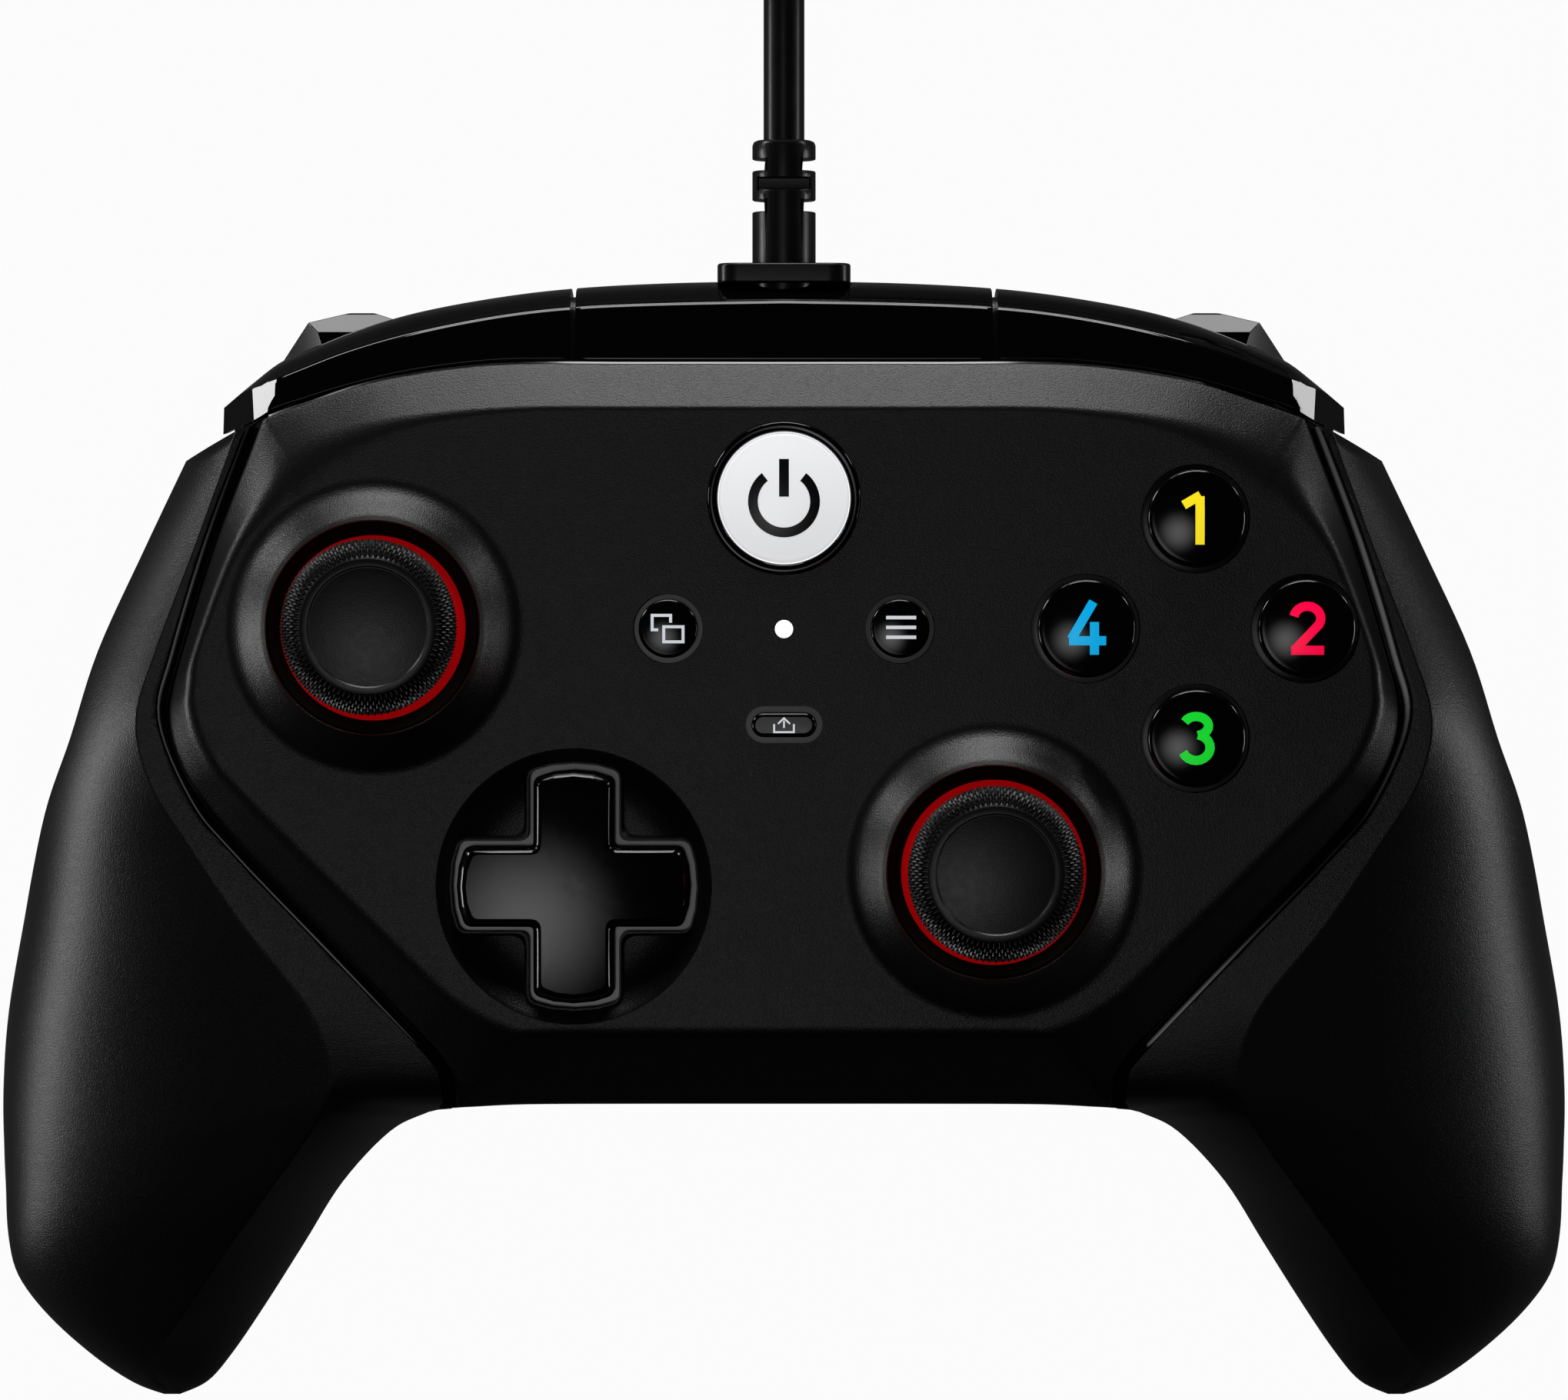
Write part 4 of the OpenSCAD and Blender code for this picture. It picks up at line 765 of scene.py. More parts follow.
def plus_outline(half: float, arm: float, bow: float, inner: float, outer: float) -> Ring:
    """Outline of a plus sign with bowed ends around the origin.

    Args:
        half: Half its length.
        arm: Width of an arm.
        bow: How much further the middle of an end reaches than its corners.
        inner: Rounding of the inner corners.
        outer: Rounding of the outer corners.

    Returns:
        The closed outline.
    """
    h, out = arm / 2, []
    for quarter in range(4):
        c, s = round(math.cos(quarter * math.pi / 2)), round(math.sin(quarter * math.pi / 2))
        arm_points: Ring = []
        arm_points += bent((h + inner, -h), (h, -h), (h, -h - inner), 5)[::-1]
        low, high = (half - bow, -h), (half - bow, h)
        arm_points += bent((half - bow - outer, -h), low, (half - bow + bow * 0.25, -h + outer), 5)
        arm_points += [(half - bow * (y / h) ** 2, y) for y in (-h * 0.5, 0.0, h * 0.5)]
        arm_points += bent((half - bow + bow * 0.25, h - outer), high, (half - bow - outer, h), 5)
        out += [(c * x - s * y, s * x + c * y) for x, y in arm_points]
    return out


@dataclass
class Pad:
    """Directional pad: the dish, its lip and the cross."""

    half: float = 11.3
    arm: float = 7.8
    bevel: float = 0.78
    top_z: float = 45.8
    lip_half: float = 11.85
    lip_arm: float = 8.75
    lip: float = 0.42
    lip_drop: float = 0.4
    low_z: float = 39.4
    crown: float = 0.6
    lean: tuple[float, float] = (-3.0, -1.0)
    # Share of the way across the rounded edge, and depth below the face there
    edge_round: tuple[tuple[float, float], ...] = (
        (0.0, 1.4), (0.03, 1.15), (0.12, 0.82), (0.28, 0.5), (0.5, 0.25), (0.75, 0.09), (0.92, 0.02))
    face_scales: tuple[float, ...] = (
        1.0, 0.985, 0.95, 0.9, 0.84, 0.77, 0.7, 0.62, 0.54, 0.46, 0.38, 0.3, 0.22, 0.14, 0.07)

    def placed(self, outline: Ring, z: float, scale: float = 1.0) -> Ring:
        """Outline around the pad's middle at a height."""
        return [(FACE.pad[0] + x * scale, FACE.pad[1] + y * scale, z) for x, y in outline]

    def lip_line(self, wide: float) -> Ring:
        """Outline of the lip, widened from its inner edge."""
        return plus_outline(self.lip_half + wide, self.lip_arm + 2 * wide, 0.7, 1.0 + wide, 0.9 + wide)

    def dish(self) -> bpy.types.Object:
        """Model the dish with its raised lip."""
        top, r = FACE.face_z, FACE.dish_r
        bowl = spline([(0.0, top - 2.0), (5.0, top - 1.97), (8.6, top - 1.8), (10.6, top - 1.35),
                       (12.0, top - 0.72),
                       (12.9, top - 0.2), (13.2, top - 0.05), (r, top)], 5)
        bowl += [(r, FACE.plate_low_z - 0.6), (0, FACE.plate_low_z - 0.6)]
        dish = Bench.turned("pad_dish", bowl, FACE.pad, 128)
        lip_z = top - self.lip_drop
        sides = ((self.lip, FACE.plate_low_z - 0.3), (self.lip, lip_z - 0.5), (0.4 * self.lip, lip_z))
        Bench.carve(dish, Bench.loft("pad_lip", [self.placed(self.lip_line(g), z) for g, z in sides]),
                    Cut.ADD)
        Bench.carve(dish, Bench.loft("hole", [self.placed(self.lip_line(0.0), z) for z in (35, 50)]))
        return Bench.shade(dish, 35)

    def height(self, p: Point) -> float:
        """Height of the cross's face at a place in plan."""
        x, y = p[0] - FACE.pad[0], p[1] - FACE.pad[1]
        bow = math.dist((x, y), self.lean) ** 2 - math.dist((0, 0), self.lean) ** 2
        return self.top_z - self.crown * bow / self.half ** 2

    def cross(self) -> bpy.types.Object:
        """Model the cross with its rounded edge and crowned top."""
        edge = refined(plus_outline(self.half, self.arm, 0.75, 0.45, 0.75), 3)
        face = refined(plus_outline(self.half - self.bevel, self.arm - 2 * self.bevel, 0.75, 1.1, 0.5), 3)
        rings = [self.placed(edge, self.low_z, 0.965), self.placed(edge, self.top_z - 2.9, 0.965)]
        for share, drop in self.edge_round:
            rings.append([(*mixed(a, b, share), self.height(mixed(a, b, share)) - drop) for a, b in
                          zip([q[:2] for q in self.placed(edge, 0)], [q[:2] for q in self.placed(face, 0)])])
        for scale in self.face_scales:
            rings.append([(x, y, self.height((x, y))) for x, y, _ in self.placed(face, 0, scale)])
        cross = Bench.loft("pad_top", rings)
        flange = Bench.turned("pad_flange", [(0, 39.2), (12.4, 39.2), (12.4, 39.95), (0, 39.95)],
                              FACE.pad, 96)
        legs = [Bench.turned("leg", [(0, 36.8), (2, 36.8), (2, 39.3), (0, 39.3)],
                             (FACE.pad[0] + 8.5 * math.sin(a), FACE.pad[1] + 8.5 * math.cos(a)), 32)
                for a in (k * math.pi / 2 for k in range(4))]
        return Bench.shade(Bench.joined("pad_top", [cross, flange, *legs]), 38)

    def make(self) -> None:
        """Build and dress the dish and the cross."""
        dress(self.dish(), SHELL, Slot.SHELL, HOUSING)
        dress(self.cross(), PAD, Slot.GLOSS, "pad_cross_body", "pad_cross")


@dataclass
class SeamTrim:
    """Polished trim that lies in the groove between the front shell and a grip."""

    # Rows along the groove's outer edge: place in plan and height of the trim's top
    rows: tuple[tuple[float, float, float], ...] = (
        (-52.2, 40.5, 40.3), (-56.3, 29.5, 40.5), (-59.6, 18.6, 40.5), (-60.9, 12.0, 40.5),
        (-57.7, 4.0, 40.5), (-53.6, -1.1, 40.5), (-44.1, -11.0, 40.45), (-36.2, -19.3, 39.9),
        (-34.8, -20.7, 39.5), (-33.8, -22.2, 39.0),
        (-33.4, -23.6, 38.5), (-33.25, -24.9, 37.9), (-33.2, -25.95, 37.3))
    steps: int = 6
    width: float = 1.3
    gap: float = -0.3
    depth: float = 2.2
    low_z: float = 33.0
    # Share of the width from the outer side, and height against the row's own
    top_line: tuple[tuple[float, float], ...] = (
        (0.0, -0.4), (0.06, -0.16), (0.16, -0.05), (0.3, -0.04), (0.5, -0.09), (0.7, -0.16),
        (0.9, -0.28), (1.0, -0.45))

    def build(self) -> bpy.types.Object:
        """Model the left trim."""
        line = spline(self.rows, self.steps)
        rings = []
        for i, (x, y, z) in enumerate(line):
            a, b = line[max(i - 1, 0)], line[min(i + 1, len(line) - 1)]
            run = math.dist(a[:2], b[:2])
            nx, ny = -(b[1] - a[1]) / run, (b[0] - a[0]) / run
            w = self.width - 2 * self.gap
            ring = [(0.0, -self.depth), *((share * w, h) for share, h in self.top_line), (w, -self.depth)]
            rings.append([(x + nx * (self.gap + u), y + ny * (self.gap + u), max(z + h, self.low_z))
                          for u, h in ring])
        return Bench.shade(Bench.loft("left_seam_strip", rings), 40)

    def make(self) -> None:
        """Build and dress both trims."""
        left = self.build()
        right = Bench.mirrored(left, "right_seam_strip")
        dress(left, GLOSS, Slot.GLOSS, HOUSING, "left_seam_trim")
        dress(right, GLOSS, Slot.GLOSS, HOUSING, "right_seam_trim")


@dataclass
class Horns:
    """Grips and rear cover, which share the sculpted horns."""

    # Rows from the shoulder to the tip: outer edge, ridge and inner edge in plan, then the heights of
    # ridge, inner edge and underside.
    rows: tuple[tuple[float, ...], ...] = (
        (-59.1, 37.4, -53.1, 39.9, -47.5, 42.6, 40.7, 40.4, 13.0),
        (-63.3, 28.5, -57.2, 28.4, -50.5, 27.0, 41.2, 40.9, 11.0),
        (-67.8, 18.7, -60.9, 18.6, -53.0, 18.0, 41.2, 40.8, 9.0),
        (-70.6, 10.0, -62.8, 12.0, -53.5, 11.5, 41.2, 40.7, 7.0),
        (-73.2, 2.5, -61.6, 6.1, -52.0, 6.0, 41.2, 40.6, 5.5),
        (-75.4, -8.0, -58.0, 0.2, -48.0, 0.5, 41.2, 40.6, 3.5),
        (-77.0, -17.0, -52.5, -7.9, -42.0, -6.0, 41.2, 40.5, 1.5),
        (-77.55, -25.0, -46.0, -16.2, -36.0, -14.0, 40.9, 40.2, 0.5),
        (-77.47, -30.5, -44.0, -22.4, -29.5, -24.4, 40.0, 38.8, 0.04),
        (-77.4, -32.6, -44.7, -25.6, -34.8, -26.6, 39.2, 30.4, 0.04),
        (-77.3, -34.6, -46.0, -28.2, -39.0, -28.9, 38.2, 23.0, 0.04),
        (-77.1, -39.1, -50.4, -34.3, -43.8, -34.0, 35.6, 20.0, 0.2),
        (-76.1, -43.3, -54.8, -40.4, -47.7, -40.2, 32.3, 20.0, 1.0),
        (-73.0, -47.4, -59.0, -46.5, -51.5, -46.2, 29.0, 20.0, 3.0),
        (-68.5, -51.4, -61.6, -50.2, -54.7, -50.9, 26.0, 20.0, 6.5),
        (-64.6, -54.0, -62.6, -52.5, -57.2, -53.8, 23.6, 20.0, 10.0),
        (-61.6, -55.14, -61.0, -54.8, -60.0, -55.14, 20.8, 20.0, 17.0))
    steps: int = 6
    evening: int = 16
    mid_z: float = 20.0
    outer_turn: float = 62.0
    inner_start: float = 28.0
    bulge: float = 0.92
    bulge_ease: float = 5.0
    bulge_low_y: float = -20.0
    bulge_run: float = 15.0
    wall_lean: float = 1 / 1200
    straight: float = 0.55
    crease: float = 0.15
    crumb: float = 0.06
    outer_sides: int = 20
    inner_sides: int = 14
    under_sides: int = 26
    support: float = 3.3
    low_ledge_z: float = 34.0
    bumper_room_z: float = 37.6
    low_ledge_y: float = -17.5
    bumper_room: tuple[tuple[float, float], ...] = (
        (-45.4, 42.0), (-53.4, 38.3), (-53.4, 50.0), (-45.4, 50.0))
    belly: tuple[tuple[float, float], ...] = (
        (0.0, 54.6), (-21.5, 53.9), (-27.3, 53.1), (-52.0, 38.0), (-56.0, 29.5), (-59.4, 18.6), (-60.6, 12.0),
        (-57.5, 4.0), (-34.5, -20.9), (-33.2, -26.3), (0.0, -26.3))
    belly_flat: tuple[tuple[float, float], ...] = (
        (0.0, 36.0), (-22.0, 36.0), (-25.0, 33.0), (-25.0, -10.0), (-22.0, -13.0), (0.0, -13.0))
    bay_y: float = 38.5
    screws: tuple[tuple[float, float, float], ...] = (
        (63.5, -41.0, 9.0), (63.0, 15.0, 13.0), (26.0, -19.8, 10.0))
    screw_r: float = 2.6
    motor: tuple[float, float, float] = (-62.0, -20.0, 20.0)
    motor_r: float = 7.8
    motor_half: float = 13.0
    rear_key: tuple[float, float, float] = (41.0, 8.0, 6.8)
    rear_turn: float = 22.0

    def ring(self, row: Point) -> Ring:
        """Section of the left horn at one row."""
        outer, ridge, inner = row[0:2], row[2:4], row[4:6]
        ridge_z, inner_z, low_z = row[6:9]
        turn, start = math.radians(self.outer_turn), math.radians(self.inner_start)
        spare = ridge_z - self.bulge * math.dist(outer, ridge) - self.mid_z
        upper = min(max((outer[1] - self.bulge_low_y) / self.bulge_run, 0.0), 1.0)
        edge_z = self.mid_z + (spare + math.hypot(spare, self.bulge_ease)) / 2 * upper
        lean = 1 - (edge_z - self.mid_z) * self.wall_lean
        edge = (outer[0] * lean, VIEW_Y + (outer[1] - VIEW_Y) * lean)
        straight = self.straight * min((edge_z - self.mid_z) / 13, 1.0)
        out = [(*outer, self.mid_z)]
        for k in (*range(self.outer_sides), self.outer_sides - self.crease, self.outer_sides):
            part = k / self.outer_sides
            across = (1 - math.cos(turn * part)) / (1 - math.cos(turn))
            rise = math.sin(turn * part) / math.sin(turn)
            p = mixed(edge, ridge, across + (part - across) * straight)
            out.append((*p, edge_z + (ridge_z - edge_z) * (rise + (part - rise) * straight)))
        for k in (self.crease, *range(1, self.inner_sides + 1)):
            a = start + (math.pi / 2 - start) * k / self.inner_sides
            p = mixed(ridge, inner, (math.sin(a) - math.sin(start)) / (1 - math.sin(start)))
            out.append((*p, inner_z + (ridge_z - inner_z) * math.cos(a) / math.cos(start)))
        for k in range(1, self.under_sides + 1):
            a = math.pi * k / (self.under_sides + 1)
            p = mixed(inner, outer, (1 - math.cos(a)) / 2)
            out.append((*p, self.mid_z - (self.mid_z - low_z) * math.sin(a) ** 0.7))
        return out

    def horn(self, name: str) -> bpy.types.Object:
        """Model the whole left horn."""
        rings = [self.ring(row) for row in spline(self.rows, self.steps)]
        shares = [math.sin(math.pi * min(max(k - 1, 0) / self.outer_sides, 1.0))
                  for k in range(len(rings[0]))]
        for _ in range(self.evening):
            inner = [[mixed(b, mixed(a, c, 0.5), 0.5 * share) for a, b, c, share in zip(*three, shares)]
                     for three in zip(rings, rings[1:], rings[2:])]
            rings = [rings[0], *inner, rings[-1]]
        return Bench.loft(name, rings)

    def motor_room(self) -> bpy.types.Object:
        """Tool that hollows the left horn around its rumble motor and weight."""
        x, y, z = self.motor
        return Bench.rod("hole", (x, z), [(self.motor_r, y + e) for e in (-self.motor_half, self.motor_half)])

    def grip(self) -> bpy.types.Object:
        """Model the left grip: the horn's upper half outside the groove."""
        grip = Bench.halve(self.horn("left_grip_shell"), (0, 0, FACE.part_z + 0.06), (0, 0, -1))
        Bench.carve(grip, Bench.prism("hole", FACE.zone(0.0), FACE.ledge_z, 60), folds=True)
        low_end = Bench.prism("hole", FACE.zone(0.0), self.low_ledge_z, 60)
        Bench.carve(grip, Bench.halve(low_end, (0, self.low_ledge_y, 0), (0, 1, 0)), folds=True)
        Bench.carve(grip, Bench.prism("hole", FACE.zone(self.support), 0, 60), folds=True)
        Bench.carve(grip, Bench.prism("hole", self.bumper_room, 0, self.bumper_room_z), folds=True)
        Bench.carve(grip, Bench.box("hole", (-32.5, -30, 0), (0, -24.2, FACE.ledge_z)), folds=True)
        Bench.carve(grip, self.motor_room(), folds=True)
        Bench.edit(grip)
        bpy.ops.mesh.dissolve_degenerate(threshold=self.crumb * MM)
        Bench.close()
        Bench.soften(grip, 0.18, 2, 66)
        return Bench.shade(grip, 62)

    def cover(self) -> bpy.types.Object:
        """Model the rear cover with its bays, screw holes and key slots."""
        cover = self.belly_solid()
        Bench.carve(cover, Bench.halve(self.horn("horn"), (0, 0, FACE.part_z - 0.06), (0, 0, 1)),
                    Cut.ADD, True)
        Bench.carve(cover, Bench.box("hole", (-53, self.bay_y, -1), (-27.4, 60, 30)), folds=True)
        Bench.carve(cover, self.motor_room(), folds=True)
        for x, y, z in self.screws:
            well = [(0, -1), (self.screw_r + 0.5, -1), (self.screw_r, z - 4), (self.screw_r, z), (0, z)]
            Bench.carve(cover, Bench.turned("hole", well, (-x, y), 32), folds=True)
        Bench.carve(cover, self.key_block("hole", Side.LEFT, 6.7, -9, 11), folds=True)
        Bench.modify(cover, "MIRROR", use_bisect_axis=(True, False, False),
                     use_bisect_flip_axis=(True, False, False),
                     use_mirror_merge=True, merge_threshold=0.002 * MM)
        Bench.soften(cover, 0.3, 2, 40)
        return Bench.shade(cover, 38)

    def belly_solid(self) -> bpy.types.Object:
        """Model the rounded middle of the rear cover."""
        rings = [[(x, y, z) for x, y in both_halves(self.belly)] for z in (12.0, FACE.part_z - 0.06)]
        flat = [(x, y, 0.0) for x, y in both_halves(self.belly_flat)]
        points = rings[0] + rings[1] + flat
        Bench.clear()
        bpy.ops.mesh.primitive_circle_add(vertices=len(points), fill_type="NOTHING")
        belly = Bench.named("shell_rear")
        for v, p in zip(belly.data.vertices, points):
            v.co = Vector(p) * MM
        Bench.edit(belly)
        bpy.ops.mesh.convex_hull()
        bpy.ops.mesh.dissolve_limited(angle_limit=math.radians(1))
        Bench.close()
        Bench.soften(belly, 2.2, 5, 12)
        return Bench.halve(belly, (0, 0, FACE.part_z - 0.06), (0, 0, 1))

    def key_block(self, name: str, side: Side, width: float, low: float, high: float,
                  ends: float = 4.5) -> bpy.types.Object:
        """Long block with round ends in the turned frame of a rear key."""
        s, turn = side.value, math.radians(self.rear_turn)
        x0, y0, z0 = self.rear_key
        plan = [(width / 2 * math.cos(a), e * ends + width / 2 * math.sin(a))
                for e, first in ((1, 0), (-1, math.pi))
                for a in (first + k * math.pi / 12 for k in range(13))]
        block = Bench.prism(name, plan, low, high)

        def place(p: Vector) -> Vector:
            """Turn a point about Y and bring it to the key's place."""
            x = p.x * math.cos(turn) - p.z * math.sin(turn)
            z = p.x * math.sin(turn) + p.z * math.cos(turn)
            return Vector((s * (x0 + x), y0 + p.y, z0 + z))

        Bench.moved(block, place)
        Bench.edit(block)
        Bench.close()
        return block

    def rear_button(self, side: Side) -> bpy.types.Object:
        """Model one rear button."""
        key = self.key_block(f"{side.word}_rear_key", side, 6.0, -2.6, 2.0)
        Bench.soften(key, 0.7, 4, 40)
        flange = self.key_block("flange", side, 7.6, 1.5, 2.5)
        return Bench.shade(Bench.joined(f"{side.word}_rear_key", [key, flange]), 35)

    def make(self) -> None:
        """Build and dress both grips, the rear cover and the rear buttons."""
        left = self.grip()
        right = Bench.mirrored(left, "right_grip_shell")
        dress(left, SHELL, Slot.SHELL, HOUSING, "left_grip")
        dress(right, SHELL, Slot.SHELL, HOUSING, "right_grip")
        dress(self.cover(), SHELL, Slot.SHELL, HOUSING, "rear_cover")
        for side in Side:
            dress(self.rear_button(side), GLOSS, Slot.GLOSS, f"{side.word}_rear_body",
                  f"{side.word}_rear_button")


@dataclass
class Shoulders:
    """Bridge, bumpers and triggers."""

    # Rows along X: place, front edge, upper back edge, back face
    rows: tuple[tuple[float, ...], ...] = (
        (0.0, 46.7, 52.8, 54.9), (-11.0, 46.7, 52.6, 54.7), (-20.3, 46.7, 52.2, 54.2),
        (-28.0, 46.6, 51.3, 53.3), (-36.0, 45.65, 49.7, 51.8), (-42.3, 44.2, 47.9, 49.9),
        (-47.0, 42.75, 46.1, 48.0), (-49.4, 41.95, 45.05, 46.9),
        (-51.7, 40.85, 43.5, 45.15), (-55.0, 39.2, 40.9, 42.35))
    hollow_end: float = -46.6
    # Planes that bevel the bumper's outer end: a point on each and its direction
    end_facets: tuple[tuple[tuple[float, float, float], tuple[float, float, float]], ...] = (
        ((-49.6, 43.5, 39.27), (-0.511, 0.348, 0.786)), ((-51.75, 42.5, 38.31), (-0.823, 0.23, 0.52)),
        ((-54.75, 41.0, 30.0), (-1.0, 0.0, 0.0)))
    hinge: tuple[float, float, float] = (-37.5, 42.5, 36.0)
    hinge_turn: float = 8.0
    hinge_r: float = 1.5
    post_x: tuple[float, ...] = (-33.5, -41.5)
    post_half: float = 2.1
    post_room: tuple[tuple[float, float], ...] = ((-8.0, -11.0), (2.3, -11.0), (2.3, 2.2), (-8.0, 2.2))
    bridge_half: float = 20.3
    gap: float = 0.5
    lip: float = 0.8
    lip_end: float = -53.0
    top_z: float = 39.8
    fall: float = 0.34
    wall: float = 1.8
    bridge_low_z: float = 20.0
    bumper_low_z: float = 24.4
    sleeve_r: float = 3.15
    plug_z: float = 33.0
    # Planes that shape the left trigger: a point on each and its direction
    trigger_facets: tuple[tuple[tuple[float, float, float], tuple[float, float, float]], ...] = (
        ((-46.0, 49.0, 22.6), (-0.683, -0.154, 0.715)), ((-43.0, 50.25, 22.6), (0.0, 0.573, 0.82)),
        ((-48.75, 49.0, 12.0), (-0.809, 0.588, 0.0)), ((-45.5, 51.55, 16.0), (-0.26, 0.965, 0.0)),
        ((-39.8, 51.9, 16.0), (0.316, 0.949, 0.0)))
    # Outline of the trigger, as places along Y and heights, and its reach along X
    trigger_line: tuple[tuple[float, float], ...] = (
        (45, 22.9), (50.2, 22.7), (51.9, 21.7), (52.25, 19.5), (52.2, 16.8), (51.6, 12.8),
        (50.9, 9.4), (51.3, 6.8),
        (51.6, 5.0), (50.2, 4.2), (48, 5.4), (46.5, 8.5), (45.7, 12.5), (45.5, 16.5), (45, 20))
    trigger_x: tuple[float, float] = (-50.9, -29.4)
    trigger_axis: tuple[float, float] = (42.0, 23.0)
    hub_x: tuple[float, float] = (-44.6, -32.0)
    hub_r: float = 2.4
    pin_r: float = 1.33

    def section(self, row: Point, low_z: float, solid: bool = False) -> Ring:
        """Section at one row, from the front edge over the top and down the back, and up inside."""
        x, front, edge, back = row
        top, rear = self.top_z, 30.0
        brow = top - self.fall * (edge - front)
        line = bent((front, top - 0.55), (front, top), (front + 0.5, top - 0.2), 4)
        line += [mixed(line[-1], (edge - 0.6, brow + 0.26), k / 4) for k in (1, 2, 3)]
        line += bent((edge - 0.6, brow + 0.26), (edge, brow), (edge + 0.2, brow - 0.6), 8)
        line += [(edge + (back - edge) * 0.5, brow - 1.7), (back - 0.4, brow - 3.3),
                 (back - 0.06, rear + 1.7),
                 (back, rear), (back - 0.12, rear - 2.4), (back - 0.3, low_z + 1.2)]
        line += bent((back - 0.36, low_z + 0.6), (back - 0.4, low_z), (back - 1.0, low_z), 3)
        lip = self.lip if x > self.lip_end else 0.0
        if solid:
            line += [(front + 1.2, low_z), (front + 0.9, low_z + 0.4), (front + 0.6, rear),
                     (front + 0.3, top - 3.2)]
        else:
            line += [(back - 0.5 - self.wall, low_z), (back - 0.2 - self.wall, rear),
                     (edge - self.wall, brow - 2.0),
                     (front + 0.3, top - 2.9)]
        line += [(front - lip, top - 3.1), (front - lip, top - 2.4), (front, top - 2.3)]
        return [(x, y, z) for y, z in line]

    def span(self, start: float, end: float, count: int) -> Ring:
        """Rows between two places along X, both at or below 0."""
        curve = spline(self.rows, 8)
        rows = []
        for k in range(count + 1):
            x = start + (end - start) * k / count
            i = max(j for j in range(len(curve) - 1) if curve[j][0] >= x)
            share = (x - curve[i][0]) / (curve[i + 1][0] - curve[i][0])
            rows.append(mixed(curve[i], curve[i + 1], share))
        return rows

    def bridge(self) -> bpy.types.Object:
        """Model the bridge around the cable's exit."""
        half = self.span(0.0, -self.bridge_half, 16)
        rows = list(reversed(half)) + [(-r[0], *r[1:]) for r in half[1:]]
        bridge = Bench.loft("shoulder_middle", [self.section(r, self.bridge_low_z) for r in rows])
        Bench.soften(bridge, 0.08, 2, 60)
        hole = Bench.rod("hole", (0, self.plug_z), [(self.sleeve_r, y) for y in (48, 60)])
        Bench.carve(bridge, hole)
        seat = [(x, z + self.plug_z)
                for x, z in rounded([(-6.6, -3.9), (6.6, -3.9), (6.6, 3.9), (-6.6, 3.9)], 2.2, 6)]
        Bench.carve(bridge, Bench.loft("hole", [[(x, y, z) for x, z in seat] for y in (54.38, 60)]))
        flange = Bench.box("flange", (-19.3, 43.7, 36), (19.3, 47.2, FACE.ledge_z))
        Bench.carve(flange, Bench.box("hole", (-5, 42, 30), (5, 48.5, 40)))
        return Bench.shade(Bench.joined("shoulder_middle", [bridge, flange]), 40)

    def bumper(self) -> bpy.types.Object:
        """Model the left bumper."""
        hollow = self.span(-(self.bridge_half + self.gap), self.hollow_end, 32)
        rings = [self.section(r, self.bumper_low_z) for r in hollow]
        rings += [self.section(r, self.bumper_low_z, True)
                  for r in self.span(self.hollow_end - 0.1, -54.9, 12)]
        bumper = Bench.loft("left_bumper_shell", rings)
        for at, normal in self.end_facets:
            Bench.halve(bumper, at, normal)
        Bench.soften(bumper, 0.12, 2, 24)
        r = self.hinge_r
        Bench.carve(bumper, self.hinge_tool([(r * math.cos(a), r * math.sin(a)) for a in turns(32)],
                                            -13.0, 13.0))
        for x in self.post_x:
            along = (x - self.hinge[0]) / math.cos(math.radians(self.hinge_turn))
            Bench.carve(bumper, self.hinge_tool(self.post_room, along - self.post_half,
                                                along + self.post_half))
        return Bench.shade(bumper, 35)

    def hinge_tool(self, profile: Ring, start: float, end: float) -> bpy.types.Object:
        """Prism along the bumper's hinge that keeps the bumper clear of its pin and posts.

        Args:
            profile: Outline across the hinge, as places behind and above it.
            start: Start along the hinge.
            end: End along the hinge.

        Returns:
            The new object.
        """
        (x0, y0, z0), turn = self.hinge, math.radians(self.hinge_turn)
        c, s = math.cos(turn), math.sin(turn)
        return Bench.loft("hole", [[(x0 + along * c - u * s, y0 + along * s + u * c, z0 + v)
                                    for u, v in profile]
                                   for along in (start, end)])

    def trigger(self) -> bpy.types.Object:
        """Model the left trigger: a curved paddle with a bevelled outer side."""
        profile = spline(self.trigger_line, 5)
        trigger = Bench.loft("left_trigger_shell", [[(x, y, z) for y, z in profile] for x in self.trigger_x])
        for at, normal in self.trigger_facets:
            Bench.halve(trigger, at, normal)
        Bench.soften(trigger, 0.5, 5, 30)
        (x0, x1), axis_y = self.hub_x, self.trigger_axis[0]
        hub = Bench.axle("hub", self.trigger_axis, self.hub_r, self.hub_x)
        Bench.carve(hub, Bench.box("arm", (x0, axis_y, 20.7), (x1, 47, 22.6)), Cut.ADD)
        Bench.carve(hub, Bench.axle("hole", self.trigger_axis, self.pin_r, (-50, -26)))
        return Bench.shade(Bench.joined("left_trigger_shell", [trigger, hub]), 38)

    def make(self) -> None:
        """Build and dress the bridge, the bumpers and the triggers."""
        dress(self.bridge(), GLOSS, Slot.GLOSS, HOUSING, "shoulder_bridge")
        for left, kind in ((self.bumper(), "bumper"), (self.trigger(), "trigger")):
            right = Bench.mirrored(left, f"right_{kind}_shell")
            dress(left, GLOSS, Slot.GLOSS, f"left_{kind}_body", f"left_{kind}")
            dress(right, GLOSS, Slot.GLOSS, f"right_{kind}_body", f"right_{kind}")


# Keys

